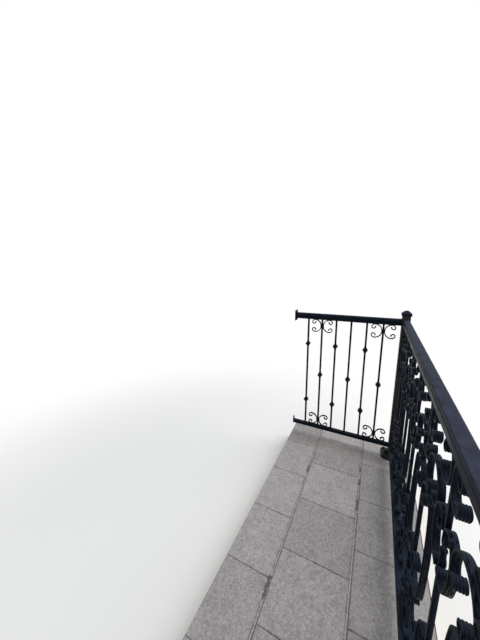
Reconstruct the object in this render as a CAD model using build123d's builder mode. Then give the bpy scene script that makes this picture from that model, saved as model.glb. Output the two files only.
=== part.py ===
"""Iron balcony: a tiled masonry floor slab held by the house wall, with a wrought-iron guard on three sides.

The origin is on the wall face of the slab, at the middle of its length and of its thickness.
+X runs along the wall, +Z is up, and the balcony stands out from the wall towards -Y.
"""

import os
from math import cos, radians, sin

from build123d import *

os.makedirs("parts", exist_ok=True)

# Floor, in millimetres
slab_thickness = 140.0
mortar_thickness = 10.0
tile_thickness = 10.0
slab_overhang = 120.0
drip_groove_width = 12.0
drip_groove_depth = 8.0
drip_groove_inset = 35.0
trim_thickness = 3.0
trim_height = 32.0

# Plan of the guard, between the centre lines of its posts
bay_count = 8
bay = 273.5
guard_depth = 766.5
post_size = 50.0
post_wall = 3.0

# Heights of the guard above the tiles
guard_height = 1067.0
post_cap_underside = 1094.0
front_rail_gap = 72.0
end_rail_gap = 71.0

# Handrail: a moulded cap over an upturned channel
cap_width = 42.0
cap_height = 20.0
cap_lip = 7.0
cap_bevel = 1.5
cap_step = 2.0
cap_round = 5.0
cap_groove = 6.0
channel_width = 34.0
channel_height = 31.0
channel_wall = 3.0
seat_clearance = 0.2

# Bottom rails
front_bottom_width = 46.0
front_bottom_height = 26.0
end_bottom_size = 28.0
tube_wall = 2.5

# Post cap, foot plate and lug
post_cap_size = 60.0
post_cap_lip = 14.0
post_cap_rise = 19.0
post_cap_taper = 48.0
post_cap_plug = 12.0
foot_size = 140.0
foot_thickness = 8.0
lug_length = 32.0
lug_height = 34.0
lug_thickness = 10.0

# Square bars and scrolls of the front panel: the scrolls are strips as deep as the bars
bar_size = 12.7
strip_thickness = 6.0
weld = 0.8
crown_bar_length = 197.0
short_bar_length = 232.0
short_bar_gap = 35.0
bead_radius = 9.0
bead_sides = 6

# Square bars, knuckles and scrolls of the end panels
end_bar_count = 6
end_bar_size = 13.0
end_scroll_depth = 13.0
end_scroll_thickness = 5.5
knuckle_width = 36.0
knuckle_height = 44.0
knuckle_taper = 21.0
knuckle_pair = (815.0, 317.0)
knuckle_single = 558.0
scrolled_bars = (2, 6)

# Wall fixings of the end panels
flange_width = 64.0
flange_height = 84.0
flange_thickness = 6.0
flange_screw_pitch = 64.0
flange_screw_radius = 4.0
tab_height = 30.0

# Scrolls as tangent arcs, each a radius and a sweep in degrees, from the middle of the back outwards
scroll_flat = 8.0
front_c_flat = 23.0
front_c_arcs = [(43, 90), (30, 80), (12, 170)]
end_c_arcs = [(45, 90), (21, 80), (12, 170)]
cradle_flat = 14.0
cradle_arcs = [(90, 16), (34, 74), (22, 90), (12, 180)]
crook_drop = 207.0
crook_tuck = 11.0
crook_fall = [(75, 25), (32, 65), (23, 90), (14, 90), (10, 90)]
crook_curl = [(28, 90), (17, 90), (11, 90)]
hook_drop = 247.0
hook_crown = [(110, 20), (36, 70), (30, 90), (15, 90), (10, 90)]
hook_fall_start = (150, 25)
hook_fall_curl = [(20, 90), (12, 90), (9, 90)]
heart_lean = 10.0
heart_shoulder_radius = 60.0
heart_side_radius = 48.0
heart_side_sweep = 50.0
heart_curl = [(30, 90), (26, 90), (14, 90), (10, 90)]
coarse_step = 50.0
fine_step = 90.0
fine_radius = 17.0

# Levels and faces worked out from the sizes above
slab_top = slab_thickness / 2
tile_underside = slab_top + mortar_thickness
floor = tile_underside + tile_thickness
rail_top = floor + guard_height
channel_underside = rail_top - cap_height + cap_groove - channel_height
front_bottom_top = floor + front_rail_gap + front_bottom_height
end_bottom_top = floor + end_rail_gap + end_bottom_size
middle = (channel_underside + front_bottom_top) / 2
post_face = bay_count * bay / 2
post_x = post_face + post_size / 2
end_run = guard_depth - post_size / 2
slab_end = post_x + slab_overhang
slab_front = guard_depth + slab_overhang


def step(point, heading, radius, sweep, turn):
    """Return the point and heading at the end of an arc that starts with a heading, all in degrees."""
    after = heading + turn * sweep
    x = point[0] + turn * radius * (sin(radians(after)) - sin(radians(heading)))
    z = point[1] - turn * radius * (cos(radians(after)) - cos(radians(heading)))
    return (x, z), after


def run(point, heading, arcs, turn):
    """Return the corners of a few-sided run of tangent arcs, without its first point."""
    corners = []
    for radius, sweep in arcs:
        limit = fine_step if radius <= fine_radius else coarse_step
        parts = max(1, -int(-sweep // limit))
        for _ in range(parts):
            point, heading = step(point, heading, radius, sweep / parts, turn)
            corners.append(point)
    return corners


def scroll(anchor, heading, ahead, behind, turn, flat=scroll_flat):
    """Return a scroll's centre line: two runs of arcs from a short flat at the middle of its back."""
    dx = cos(radians(heading)) * flat / 2
    dz = sin(radians(heading)) * flat / 2
    first = (anchor[0] + dx, anchor[1] + dz)
    last = (anchor[0] - dx, anchor[1] - dz)
    tail = run(last, heading + 180, behind, -turn)
    return tail[::-1] + [last, first] + run(first, heading, ahead, turn)


def c_scroll(back, level, arcs, side, flat=scroll_flat):
    """Return the centre line of a C scroll with its back at one side of a bar, open to side."""
    return scroll((back, level), 90, arcs, arcs, -side, flat)


def c_rise(arcs, thickness, flat=scroll_flat):
    """Return the height of a C scroll's top above the middle of its back."""
    return max(z for _, z in outline(c_scroll(0, 0, arcs, 1, flat), thickness))


def mirrored(points, level):
    """Return a centre line turned over about a level."""
    return [(x, 2 * level - z) for x, z in points]


def outline(points, thickness):
    """Return the outline of a strip of even thickness along a centre line, mitred at each corner."""
    left, right = [], []
    for i, (x, z) in enumerate(points):
        before = points[max(i - 1, 0)]
        after = points[min(i + 1, len(points) - 1)]
        legs = []
        for a, b in ((before, (x, z)), ((x, z), after)):
            leg = Vector(b[0] - a[0], b[1] - a[1])
            if leg.length > 0:
                legs.append(leg.normalized())
        along = (legs[0] + legs[-1]).normalized()
        reach = thickness / 2 / along.dot(legs[0])
        left.append((x - along.Y * reach, z + along.X * reach))
        right.append((x + along.Y * reach, z - along.X * reach))
    return left + right[::-1]


def draw_strip(points, thickness):
    """Add a strip along a centre line to the sketch that is open."""
    with BuildLine() as edge:
        Polyline(*outline(points, thickness), close=True)
    make_face(edge.edges())


def draw_bar(x, low, high, thickness):
    """Add an upright bar to the sketch that is open."""
    with Locations((x, (low + high) / 2)):
        Rectangle(thickness, high - low)


def handrail_profile():
    """Add the moulded cap's section to the open sketch: x across, y from its underside up."""
    lip = cap_width / 2
    shoulder = lip - cap_step
    groove = channel_width / 2 + seat_clearance
    with BuildLine() as edge:
        Polyline((0, cap_groove), (groove, cap_groove), (groove, 0), (lip - cap_bevel, 0))
        Polyline((lip - cap_bevel, 0), (lip, cap_bevel), (lip, cap_lip), (shoulder, cap_lip + cap_bevel))
        Line((shoulder, cap_lip + cap_bevel), (shoulder, cap_height - cap_round))
        JernArc((shoulder, cap_height - cap_round), (0, 1), cap_round, 90)
        Line((shoulder - cap_round, cap_height), (0, cap_height))
        mirror(about=Plane.YZ)
    make_face(edge.edges())


def channel_profile():
    """Add the upturned channel's section to the open sketch, its underside on the x axis."""
    with Locations((0, channel_height / 2)):
        Rectangle(channel_width, channel_height)
    with Locations((0, channel_wall + channel_height / 2)):
        Rectangle(channel_width - 2 * channel_wall, channel_height, mode=Mode.SUBTRACT)


def tube_profile(width, height):
    """Add a hollow tube's section to the open sketch, its underside on the x axis."""
    with Locations((0, height / 2)):
        Rectangle(width, height)
        Rectangle(width - 2 * tube_wall, height - 2 * tube_wall, mode=Mode.SUBTRACT)


def front_section(level):
    """Return the plane across the front rails at the left post's face, at a level."""
    return Plane(origin=(-post_face, -guard_depth, level), x_dir=(0, 1, 0), z_dir=(1, 0, 0))


def end_section(side, level, start=0.0):
    """Return the plane across the end rails at the wall, at a level, for side -1 or 1."""
    return Plane(origin=(side * post_x, -start, level), x_dir=(1, 0, 0), z_dir=(0, -1, 0))


def save(piece, name):
    """Label a finished piece and write its STEP file."""
    piece.part.label = name
    export_step(piece.part, f"parts/{name}.step")


side_names = {-1: "left", 1: "right"}

# Slab, with a drip groove near its free edges
with BuildPart() as floor_slab:
    with BuildSketch(Plane.XY.offset(-slab_top)):
        with Locations((0, -slab_front / 2)):
            Rectangle(2 * slab_end, slab_front)
    extrude(amount=slab_thickness)
    with BuildSketch(Plane.XY.offset(-slab_top)):
        with Locations((0, -(slab_front - drip_groove_inset) / 2)):
            Rectangle(2 * (slab_end - drip_groove_inset), slab_front - drip_groove_inset)
        inner_inset = drip_groove_inset + drip_groove_width
        with Locations((0, -(slab_front - inner_inset) / 2)):
            Rectangle(2 * (slab_end - inner_inset), slab_front - inner_inset, mode=Mode.SUBTRACT)
    extrude(amount=drip_groove_depth, mode=Mode.SUBTRACT)
save(floor_slab, "floor_slab")

# Mortar bed and the layer of tiles on it
with BuildPart() as mortar_bed:
    with BuildSketch(Plane.XY.offset(slab_top)):
        with Locations((0, -slab_front / 2)):
            Rectangle(2 * slab_end, slab_front)
    extrude(amount=mortar_thickness)
save(mortar_bed, "mortar_bed")

with BuildPart() as floor_tiles:
    with BuildSketch(Plane.XY.offset(tile_underside)):
        with Locations((0, -slab_front / 2)):
            Rectangle(2 * slab_end, slab_front)
    extrude(amount=tile_thickness)
save(floor_tiles, "floor_tiles")

# Metal trim along the three free edges, level with the tiles, the front one across the side ones' ends
trim_plane = Plane.XY.offset(floor - trim_height)
with BuildPart() as edge_trim_front:
    with BuildSketch(trim_plane):
        with Locations((0, -slab_front - trim_thickness / 2)):
            Rectangle(2 * (slab_end + trim_thickness), trim_thickness)
    extrude(amount=trim_height)
save(edge_trim_front, "edge_trim_front")

for side, side_name in side_names.items():
    with BuildPart() as edge_trim:
        with BuildSketch(trim_plane):
            with Locations((side * (slab_end + trim_thickness / 2), -slab_front / 2)):
                Rectangle(trim_thickness, slab_front)
        extrude(amount=trim_height)
    save(edge_trim, f"edge_trim_{side_name}")

# Corner posts with their caps and foot plates
for side, side_name in side_names.items():
    foot_top = floor + foot_thickness
    cap_under = floor + post_cap_underside
    with BuildPart() as corner_post:
        with BuildSketch(Plane.XY.offset(foot_top)):
            with Locations((side * post_x, -guard_depth)):
                Rectangle(post_size, post_size)
                Rectangle(post_size - 2 * post_wall, post_size - 2 * post_wall, mode=Mode.SUBTRACT)
        extrude(amount=cap_under - foot_top)
    save(corner_post, f"corner_post_{side_name}")

    with BuildPart() as post_cap:
        plug = post_size - 2 * post_wall - 2 * seat_clearance
        with BuildSketch(Plane.XY.offset(cap_under - post_cap_plug)):
            with Locations((side * post_x, -guard_depth)):
                Rectangle(plug, plug)
        extrude(amount=post_cap_plug)
        with BuildSketch(Plane.XY.offset(cap_under)):
            with Locations((side * post_x, -guard_depth)):
                Rectangle(post_cap_size, post_cap_size)
        extrude(amount=post_cap_lip)
        with BuildSketch(Plane.XY.offset(cap_under + post_cap_lip)):
            with Locations((side * post_x, -guard_depth)):
                Rectangle(post_cap_size, post_cap_size)
        extrude(amount=post_cap_rise, taper=post_cap_taper)
    save(post_cap, f"post_cap_{side_name}")

    with BuildPart() as post_foot:
        with BuildSketch(Plane.XY.offset(floor)):
            with Locations((side * post_x, -guard_depth)):
                Rectangle(foot_size, foot_size)
        extrude(amount=foot_thickness)
        with BuildSketch(Plane.YZ.offset(side * post_x - lug_thickness / 2)):
            with BuildLine():
                Polyline(
                    (-end_run, foot_top),
                    (-end_run + lug_length, foot_top),
                    (-end_run + lug_length, foot_top + lug_height / 3),
                    (-end_run + lug_length / 2, foot_top + lug_height),
                    (-end_run, foot_top + lug_height),
                    close=True,
                )
            make_face()
        extrude(amount=lug_thickness)
    save(post_foot, f"post_foot_{side_name}")

# Front rails, between the posts
with BuildPart() as front_handrail:
    with BuildSketch(front_section(rail_top - cap_height)):
        handrail_profile()
    extrude(amount=2 * post_face)
save(front_handrail, "front_handrail")

with BuildPart() as front_channel:
    with BuildSketch(front_section(channel_underside)):
        channel_profile()
    extrude(amount=2 * post_face)
save(front_channel, "front_channel")

with BuildPart() as front_bottom_rail:
    with BuildSketch(front_section(floor + front_rail_gap)):
        tube_profile(front_bottom_width, front_bottom_height)
    extrude(amount=2 * post_face)
save(front_bottom_rail, "front_bottom_rail")

# Front panel: bars hang from the handrail and stand on the bottom rail at each bay line.
# Every second one ends in the open, between two hooked scrolls; the others end on a cradle scroll.
front_plane = Plane.XZ.offset(guard_depth - bar_size / 2)
crown_level = channel_underside - crown_bar_length
short_level = channel_underside - short_bar_length
crown_lines = [bay * k for k in range(-bay_count // 2, bay_count // 2 + 1, 2)]
short_lines = [bay * k for k in range(-bay_count // 2 + 1, bay_count // 2, 2)]
c_level = channel_underside - c_rise(front_c_arcs, strip_thickness, front_c_flat)
c_back = bar_size / 2 + strip_thickness / 2 - weld
for name, upper in (("front_upper_bars", True), ("front_lower_bars", False)):
    with BuildPart() as front_bars:
        with BuildSketch(front_plane):
            for line in crown_lines + short_lines:
                end = crown_level if line in crown_lines else short_level
                at_post = abs(line) > post_face - bay / 2
                if not at_post:
                    low, high = (end, channel_underside)
                    if not upper:
                        low, high = (2 * middle - high, 2 * middle - low)
                    draw_bar(line, low, high, bar_size)
                for side in (-1, 1):
                    if at_post and side * line > 0:
                        continue
                    back = strip_thickness / 2 if at_post else c_back
                    path = c_scroll(line + side * back, c_level, front_c_arcs, side, front_c_flat)
                    draw_strip(path if upper else mirrored(path, middle), strip_thickness)
        extrude(amount=bar_size)
    save(front_bars, name)

# Field of scrolls between the bars, the same above and below its middle
cradle_level = crown_level - strip_thickness / 2
cradle_reach = max(x for x, _ in run((cradle_flat / 2, 0), 0, cradle_arcs, 1))
crook_gap = cradle_reach - crook_tuck
crook_level = channel_underside - crook_drop

# A hook's upper curl stands beside the end of a short bar, and its outer shoulder meets the crook
hook_level = channel_underside - hook_drop
hook_start = (0, hook_level + scroll_flat / 2)
hook_reach = max(x for x, _ in outline(run(hook_start, 90, hook_crown, -1), strip_thickness))
hook_back = bar_size / 2 + seat_clearance + hook_reach
hook_shoulder = run(hook_start, 90, hook_crown[:1], -1)[-1]
meeting_x = bay - hook_back + hook_shoulder[0] - strip_thickness + weld - crook_gap
meeting_z = hook_shoulder[1] - crook_level - scroll_flat / 2
crook_crown = [((meeting_x + meeting_z) / 2, 90), ((meeting_x - meeting_z) / 2, 90)] + crook_curl

# The hook's lower curl is welded to the side of the middle bar that stands under the short bar
fall_reach = hook_back - bar_size / 2 - strip_thickness / 2 + weld
fall_width = fall_reach - step((0, 0), -90, *hook_fall_start, 1)[0][0] - hook_fall_curl[0][0]
hook_belly = (fall_width / cos(radians(hook_fall_start[1])), 90 - hook_fall_start[1])
hook_fall = [hook_fall_start, hook_belly] + hook_fall_curl
short_bead_level = short_level - short_bar_gap

# A heart hangs under the crook's foot, and its inner side stands at the bead of its crown line
crook_start = (crook_gap, crook_level - scroll_flat / 2)
crook_foot = run(crook_start, -90, crook_fall[:2], 1)[-1]
heart_top = crook_foot[1] - strip_thickness + weld
heart_inner = bead_radius + strip_thickness / 2 - weld
heart_crest_sweep = 90 - heart_side_sweep
side_width = heart_side_radius * (1 - sin(radians(heart_crest_sweep)))
heart_crest_radius = (crook_foot[0] - heart_inner - side_width) / sin(radians(heart_crest_sweep))
heart_shoulder = [
    (heart_shoulder_radius, 90 - heart_lean),
    (heart_crest_radius, heart_crest_sweep),
    (heart_side_radius, heart_side_sweep),
]
shoulder_rise = run((0, 0), 90 + heart_lean, heart_shoulder[:1], 1)[-1][1]
heart_back_radius = (heart_top - shoulder_rise - middle) / sin(radians(heart_lean))
heart_upper = [(heart_back_radius, heart_lean)] + heart_shoulder
heart_side = run((0, middle), 90, heart_upper, 1)[-1]
heart_back = heart_inner - heart_side[0]
crown_bead_level = heart_side[1]


def draw_both(path):
    """Add a scroll above the middle of the field, and the same one turned over below it."""
    draw_strip(path, strip_thickness)
    draw_strip(mirrored(path, middle), strip_thickness)


with BuildPart() as front_scrolls:
    with BuildSketch(front_plane):
        for line in crown_lines:
            whole = abs(line) < post_face - bay / 2
            seat = (line, cradle_level)
            sides = (-1, 1) if whole else (-1 if line > 0 else 1,)
            if whole:
                draw_both(scroll(seat, 0, cradle_arcs, cradle_arcs, 1, cradle_flat))
                draw_bar(line, 2 * middle - crown_bead_level, crown_bead_level, bar_size)
            for side in sides:
                if not whole:
                    start = (line + side * cradle_flat / 2, cradle_level)
                    turned = run(start, 0 if side > 0 else 180, cradle_arcs, side)
                    draw_both([seat, start] + turned)
                crook_x = line + side * crook_gap
                draw_both(scroll((crook_x, crook_level), 90, crook_crown, crook_fall, -side))
                half_heart = run((line + side * heart_back, middle), 90, heart_upper + heart_curl, side)
                draw_strip(mirrored(half_heart, middle)[::-1] + half_heart, strip_thickness)
        for line in short_lines:
            for side in (-1, 1):
                back = (line - side * hook_back, hook_level)
                draw_both(scroll(back, 90, hook_crown, hook_fall, -side))
            draw_bar(line, 2 * middle - short_bead_level, short_bead_level, bar_size)
    extrude(amount=bar_size)
    # Beads on both ends of each middle bar
    with BuildSketch(Plane.XZ.offset(guard_depth)):
        for lines, level in ((crown_lines[1:-1], crown_bead_level), (short_lines, short_bead_level)):
            with Locations(*[(line, end) for line in lines for end in (level, 2 * middle - level)]):
                RegularPolygon(bead_radius, bead_sides)
    extrude(amount=bead_radius, both=True)
save(front_scrolls, "front_scrolls")

# End rails, between the wall and the posts, and their fixings
for side, side_name in side_names.items():
    with BuildPart() as end_handrail:
        with BuildSketch(end_section(side, rail_top - cap_height, flange_thickness)):
            handrail_profile()
        extrude(amount=end_run - flange_thickness)
    save(end_handrail, f"end_handrail_{side_name}")

    with BuildPart() as end_channel:
        with BuildSketch(end_section(side, channel_underside, flange_thickness)):
            channel_profile()
        extrude(amount=end_run - flange_thickness)
    save(end_channel, f"end_channel_{side_name}")

    with BuildPart() as end_bottom_rail:
        with BuildSketch(end_section(side, floor + end_rail_gap, flange_thickness)):
            tube_profile(end_bottom_size, end_bottom_size)
        extrude(amount=end_run - flange_thickness)
    save(end_bottom_rail, f"end_bottom_rail_{side_name}")

    with BuildPart() as wall_flange:
        flange_level = (channel_underside + rail_top) / 2
        with BuildSketch(end_section(side, flange_level)):
            Rectangle(flange_width, flange_height)
            with GridLocations(0, flange_screw_pitch, 1, 2):
                Circle(flange_screw_radius, mode=Mode.SUBTRACT)
        extrude(amount=flange_thickness)
    save(wall_flange, f"wall_flange_{side_name}")

    with BuildPart() as wall_tab:
        tab_width = end_bottom_size
        tab_top = end_bottom_top + tab_height
        with BuildSketch(end_section(side, floor + end_rail_gap)):
            with Locations((0, (tab_top - floor - end_rail_gap) / 2)):
                Rectangle(tab_width, tab_top - floor - end_rail_gap)
            with Locations((0, end_bottom_size + tab_height / 2)):
                Circle(flange_screw_radius, mode=Mode.SUBTRACT)
        extrude(amount=flange_thickness)
    save(wall_tab, f"wall_tab_{side_name}")

    # Square bars with diamond knuckles, and C scrolls back to back on two of them
    pitch = end_run / (end_bar_count + 1)
    bar_half = end_bar_size / 2
    with BuildPart() as end_bars:
        with BuildSketch(Plane.XY.offset(end_bottom_top)):
            for i in range(1, end_bar_count + 1):
                with Locations((side * post_x, -i * pitch)):
                    Rectangle(end_bar_size, end_bar_size)
        extrude(amount=channel_underside - end_bottom_top)
        for i in range(1, end_bar_count + 1):
            for level in knuckle_pair if i % 2 else (knuckle_single,):
                belt = Plane(origin=(side * post_x, -i * pitch, floor + level))
                with BuildSketch(belt):
                    Rectangle(knuckle_width, knuckle_width)
                upper_half = extrude(amount=knuckle_height / 2, taper=knuckle_taper)
                mirror(upper_half, about=belt)
    save(end_bars, f"end_bars_{side_name}")

    end_plane = Plane.YZ.offset(side * post_x - end_scroll_depth / 2)
    end_c_rise = c_rise(end_c_arcs, end_scroll_thickness)
    for name, level in (
        ("end_upper_scrolls", channel_underside - end_c_rise),
        ("end_lower_scrolls", end_bottom_top + end_c_rise),
    ):
        with BuildPart() as end_scrolls:
            with BuildSketch(end_plane):
                for i in scrolled_bars:
                    for way in (-1, 1):
                        back = -i * pitch + way * (bar_half + end_scroll_thickness / 2)
                        path = c_scroll(back, level, end_c_arcs, way)
                        draw_strip(path, end_scroll_thickness)
            extrude(amount=end_scroll_depth)
        save(end_scrolls, f"{name}_{side_name}")
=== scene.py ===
"""Iron balcony: a tiled floor slab with a wrought-iron guard, dressed for a studio view.

Everything is in metres. The origin is on the slab's wall face, +X runs along the wall, +Z is up, and the balcony
stands out from the wall towards -Y.
"""

import logging
import math
import random
from dataclasses import dataclass
from enum import Enum
from typing import Callable, NamedTuple, Optional, Sequence

import bmesh
import bpy
from mathutils import Matrix, Vector


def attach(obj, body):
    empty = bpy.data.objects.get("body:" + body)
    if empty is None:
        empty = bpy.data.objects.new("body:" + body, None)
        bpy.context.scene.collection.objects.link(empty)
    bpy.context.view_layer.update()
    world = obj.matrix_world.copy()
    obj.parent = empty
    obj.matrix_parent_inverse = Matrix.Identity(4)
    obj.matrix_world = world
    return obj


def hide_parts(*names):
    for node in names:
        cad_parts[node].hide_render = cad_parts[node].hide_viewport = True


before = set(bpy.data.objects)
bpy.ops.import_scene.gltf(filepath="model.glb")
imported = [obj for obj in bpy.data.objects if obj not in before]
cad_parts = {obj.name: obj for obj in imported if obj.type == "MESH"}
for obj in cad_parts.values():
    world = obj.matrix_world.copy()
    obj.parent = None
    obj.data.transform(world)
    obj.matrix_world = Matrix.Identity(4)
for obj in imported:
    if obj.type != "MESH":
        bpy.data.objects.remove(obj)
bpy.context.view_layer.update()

log = logging.getLogger("balcony")

Colour = Triple = tuple[float, float, float]
Pair = tuple[float, float]
Socket, Node, Tree = bpy.types.NodeSocket, bpy.types.Node, bpy.types.NodeTree
Object, Material = bpy.types.Object, bpy.types.Material
Test = Callable[[Vector], bool]

# Levels and lines that several pieces share
FLOOR = 0.090
RAIL_TOP = 1.157
CHANNEL_UNDERSIDE = 1.112
FRONT_BOTTOM_TOP = 0.188
END_BOTTOM_LOW = 0.161
END_BOTTOM_TOP = 0.189
MIDDLE = (CHANNEL_UNDERSIDE + FRONT_BOTTOM_TOP) / 2
GUARD_DEPTH = 0.7665
POST_X = 1.119
POST_FACE = 1.094
END_RUN = 0.7415
BAY = 0.2735
SLAB_END = 1.239
SLAB_FRONT = 0.8865

# How far a scroll bites into what carries it, and from which radius down a rolled end is ribbed
BITE = 0.0004
RIBBED_FROM = 0.0245

# How near a corner lies to a level, a face to a direction and an edge to an axis, to be picked
NEAR = 1e-5
FACING = 0.9
PARALLEL = 0.99
UP, DOWN, STREET = (0.0, 0.0, 1.0), (0.0, 0.0, -1.0), (0.0, -1.0, 0.0)
WHOLE = (1.0, 1.0, 1.0)


class Side(Enum):
    """The two ends of the balcony, as the sign of their place along the wall."""

    LEFT = -1
    RIGHT = 1

    @property
    def label(self) -> str:
        """The word that the names of this end's pieces carry."""
        return self.name.lower()


class Slot(Enum):
    """The finishes that the record names, as far as new pieces have them."""

    IRON = "black_iron"
    TILE = "tile"
    MORTAR = "mortar"


class Pick(Enum):
    """What kind of element an edit step acts on, with the name of its list in a mesh."""

    VERT = "verts"
    EDGE = "edges"
    FACE = "faces"


# Shader wiring and the effects that finishes share


class Wiring:
    """Adds and joins the nodes of one material, world or node group."""

    def __init__(self, tree: Tree) -> None:
        """Start on a tree and empty it."""
        self.tree = tree
        tree.nodes.clear()

    def add(self, kind: str, inputs: Optional[dict] = None, **values: object) -> Node:
        """Add a node, set its properties and feed its inputs.

        Args:
            kind: the node's type name.
            inputs: what feeds each input, by its name or number.
            **values: properties of the node.

        Returns:
            The new node.
        """
        node = self.tree.nodes.new(kind)
        for name, value in values.items():
            setattr(node, name, value)
        for key, value in (inputs or {}).items():
            self.feed(node.inputs[key], value)
        return node

    def feed(self, socket: Socket, value: object) -> None:
        """Give an input a link or a plain value.

        Args:
            socket: the input.
            value: another node's output, a number, or a colour or stretch of three parts.
        """
        if isinstance(value, Socket):
            self.tree.links.new(value, socket)
        elif isinstance(value, tuple) and socket.type == "RGBA":
            socket.default_value = (*value, 1.0)
        else:
            socket.default_value = value

    def place(self, stretch: Triple = WHOLE) -> Socket:
        """Return the object's own coordinates, stretched along its axes.

        Args:
            stretch: the factor along each axis.

        Returns:
            The coordinates.
        """
        spot = self.add("ShaderNodeTexCoord").outputs["Object"]
        if stretch == WHOLE:
            return spot
        return self.add("ShaderNodeMapping", {"Vector": spot, "Scale": stretch}).outputs["Vector"]

    def split(self, vector: Socket) -> bpy.types.bpy_prop_collection:
        """Return a vector's parts, as the outputs X, Y and Z."""
        return self.add("ShaderNodeSeparateXYZ", {0: vector}).outputs

    def mark(self, name: str) -> Socket:
        """Return the value that a mesh keeps under a name."""
        return self.add("ShaderNodeAttribute", attribute_name=name).outputs["Fac"]

    def noise(self, spot: Socket, scale: object, detail: float = 3.0, rough: float = 0.6) -> Socket:
        """Return a noise value of about 0 to 1, with scale cells per metre."""
        values = {"Vector": spot, "Scale": scale, "Detail": detail, "Roughness": rough}
        return self.add("ShaderNodeTexNoise", values).outputs["Fac"]

    def spread(self, value: Socket, low: object, high: object, floor: float = 0.0, top: float = 1.0) -> Socket:
        """Map the range from low to high smoothly onto the one from floor to top, held at its ends."""
        values = {"Value": value, "From Min": low, "From Max": high, "To Min": floor, "To Max": top}
        return self.add("ShaderNodeMapRange", values, interpolation_type="SMOOTHSTEP").outputs["Result"]

    def reckon(self, kind: str, *parts: object) -> Socket:
        """Do arithmetic on one number or socket, or on several in turn.

        Args:
            kind: the operation's name.
            *parts: what it works on.

        Returns:
            The result.
        """
        result = parts[0]
        for part in parts[1:] or (0.0,):
            result = self.add("ShaderNodeMath", {0: result, 1: part}, operation=kind).outputs[0]
        return result

    def plus(self, *parts: object) -> Socket:
        """Return the sum of numbers and sockets."""
        return self.reckon("ADD", *parts)

    def times(self, *parts: object) -> Socket:
        """Return the product of numbers and sockets."""
        return self.reckon("MULTIPLY", *parts)

    def blend(self, share: Socket, under: object, over: object) -> Socket:
        """Return two colours mixed, with a share of the one on top."""
        return self.add("ShaderNodeMix", {"Factor": share, 6: under, 7: over}, data_type="RGBA").outputs[2]

    def group(self, tree: Tree, **values: float) -> bpy.types.bpy_prop_collection:
        """Place a shared effect with its inputs by name, and return its outputs."""
        return self.add("ShaderNodeGroup", values, node_tree=tree).outputs


def open_group(name: str, inputs: dict[str, float], outputs: Sequence[str]) -> tuple[Wiring, dict, dict]:
    """Start a shared effect with named sockets.

    Args:
        name: the group's name.
        inputs: each value input with its usual value.
        outputs: the names of its value outputs.

    Returns:
        The wiring, the inputs' sockets by name, and the outputs' sockets by name.
    """
    tree = bpy.data.node_groups.new(name, "ShaderNodeTree")
    for label, value in inputs.items():
        socket = tree.interface.new_socket(label, in_out="INPUT", socket_type="NodeSocketFloat")
        socket.default_value = value
    for label in outputs:
        tree.interface.new_socket(label, in_out="OUTPUT", socket_type="NodeSocketFloat")
    wiring = Wiring(tree)
    source, sink = wiring.add("NodeGroupInput").outputs, wiring.add("NodeGroupOutput").inputs
    return wiring, {label: source[label] for label in inputs}, {label: sink[label] for label in outputs}


class Effects:
    """The surface effects that several finishes use, each built once."""

    def __init__(self) -> None:
        """Build every effect."""
        self.dust = self._dust()
        self.grain = self._grain()
        self.mottle = self._mottle()
        self.runs = self._runs()

    @staticmethod
    def _dust() -> Tree:
        """Build a mask on faces that look up, broken by noise, for settled dust and a painted sky highlight.

        Returns:
            The group, with the output Mask.
        """
        # This mask carries dust and also the painted sky highlight on top faces.
        wiring, given, out = open_group("settled_dust", {"Amount": 0.5, "Scale": 30.0, "Reach": 0.35}, ["Mask"])
        height = wiring.split(wiring.add("ShaderNodeNewGeometry").outputs["Normal"])["Z"]
        upward = wiring.spread(height, given["Reach"], 1.0)
        patches = wiring.spread(wiring.noise(wiring.place(), given["Scale"], 4.0), 0.3, 0.7, 0.35)
        wiring.feed(out["Mask"], wiring.times(upward, patches, given["Amount"]))
        return wiring.tree

    @staticmethod
    def _grain() -> Tree:
        """Build a fine even grain with shallow pits.

        Returns:
            The group, with the outputs Height and Mask.
        """
        wiring, given, out = open_group("fine_grain", {"Scale": 400.0, "Pits": 0.3}, ["Height", "Mask"])
        fine = wiring.noise(wiring.place(), given["Scale"])
        coarse = wiring.times(given["Scale"], 0.55)
        cells = wiring.add("ShaderNodeTexVoronoi", {"Vector": wiring.place(), "Scale": coarse})
        pits = wiring.spread(cells.outputs["Distance"], 0.08, 0.3, 1.0, 0.0)
        wiring.feed(out["Height"], wiring.reckon("SUBTRACT", fine, wiring.times(pits, given["Pits"])))
        wiring.feed(out["Mask"], pits)
        return wiring.tree

    @staticmethod
    def _mottle() -> Tree:
        """Build soft clouds of two sizes.

        Returns:
            The group, with the output Mask.
        """
        wiring, given, out = open_group("clouds", {"Scale": 8.0, "Contrast": 0.2}, ["Mask"])
        large = wiring.noise(wiring.place(), given["Scale"], 5.0, 0.62)
        small = wiring.noise(wiring.place(), wiring.times(given["Scale"], 5.3), 4.0)
        both = wiring.plus(wiring.times(large, 0.65), wiring.times(small, 0.35))
        low, high = (wiring.reckon(kind, 0.5, given["Contrast"]) for kind in ("SUBTRACT", "ADD"))
        wiring.feed(out["Mask"], wiring.spread(both, low, high))
        return wiring.tree

    @staticmethod
    def _runs() -> Tree:
        """Build thin streaks that run downwards.

        Returns:
            The group, with the output Mask.
        """
        wiring, given, out = open_group("runs", {"Scale": 60.0, "Amount": 0.5}, ["Mask"])
        streaks = wiring.noise(wiring.place((1.0, 1.0, 0.06)), given["Scale"], 4.0, 0.55)
        broken = wiring.noise(wiring.place(), 9.0, 3.0, 0.5)
        parts = wiring.spread(streaks, 0.52, 0.72), wiring.spread(broken, 0.35, 0.65), given["Amount"]
        wiring.feed(out["Mask"], wiring.times(*parts))
        return wiring.tree


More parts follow.
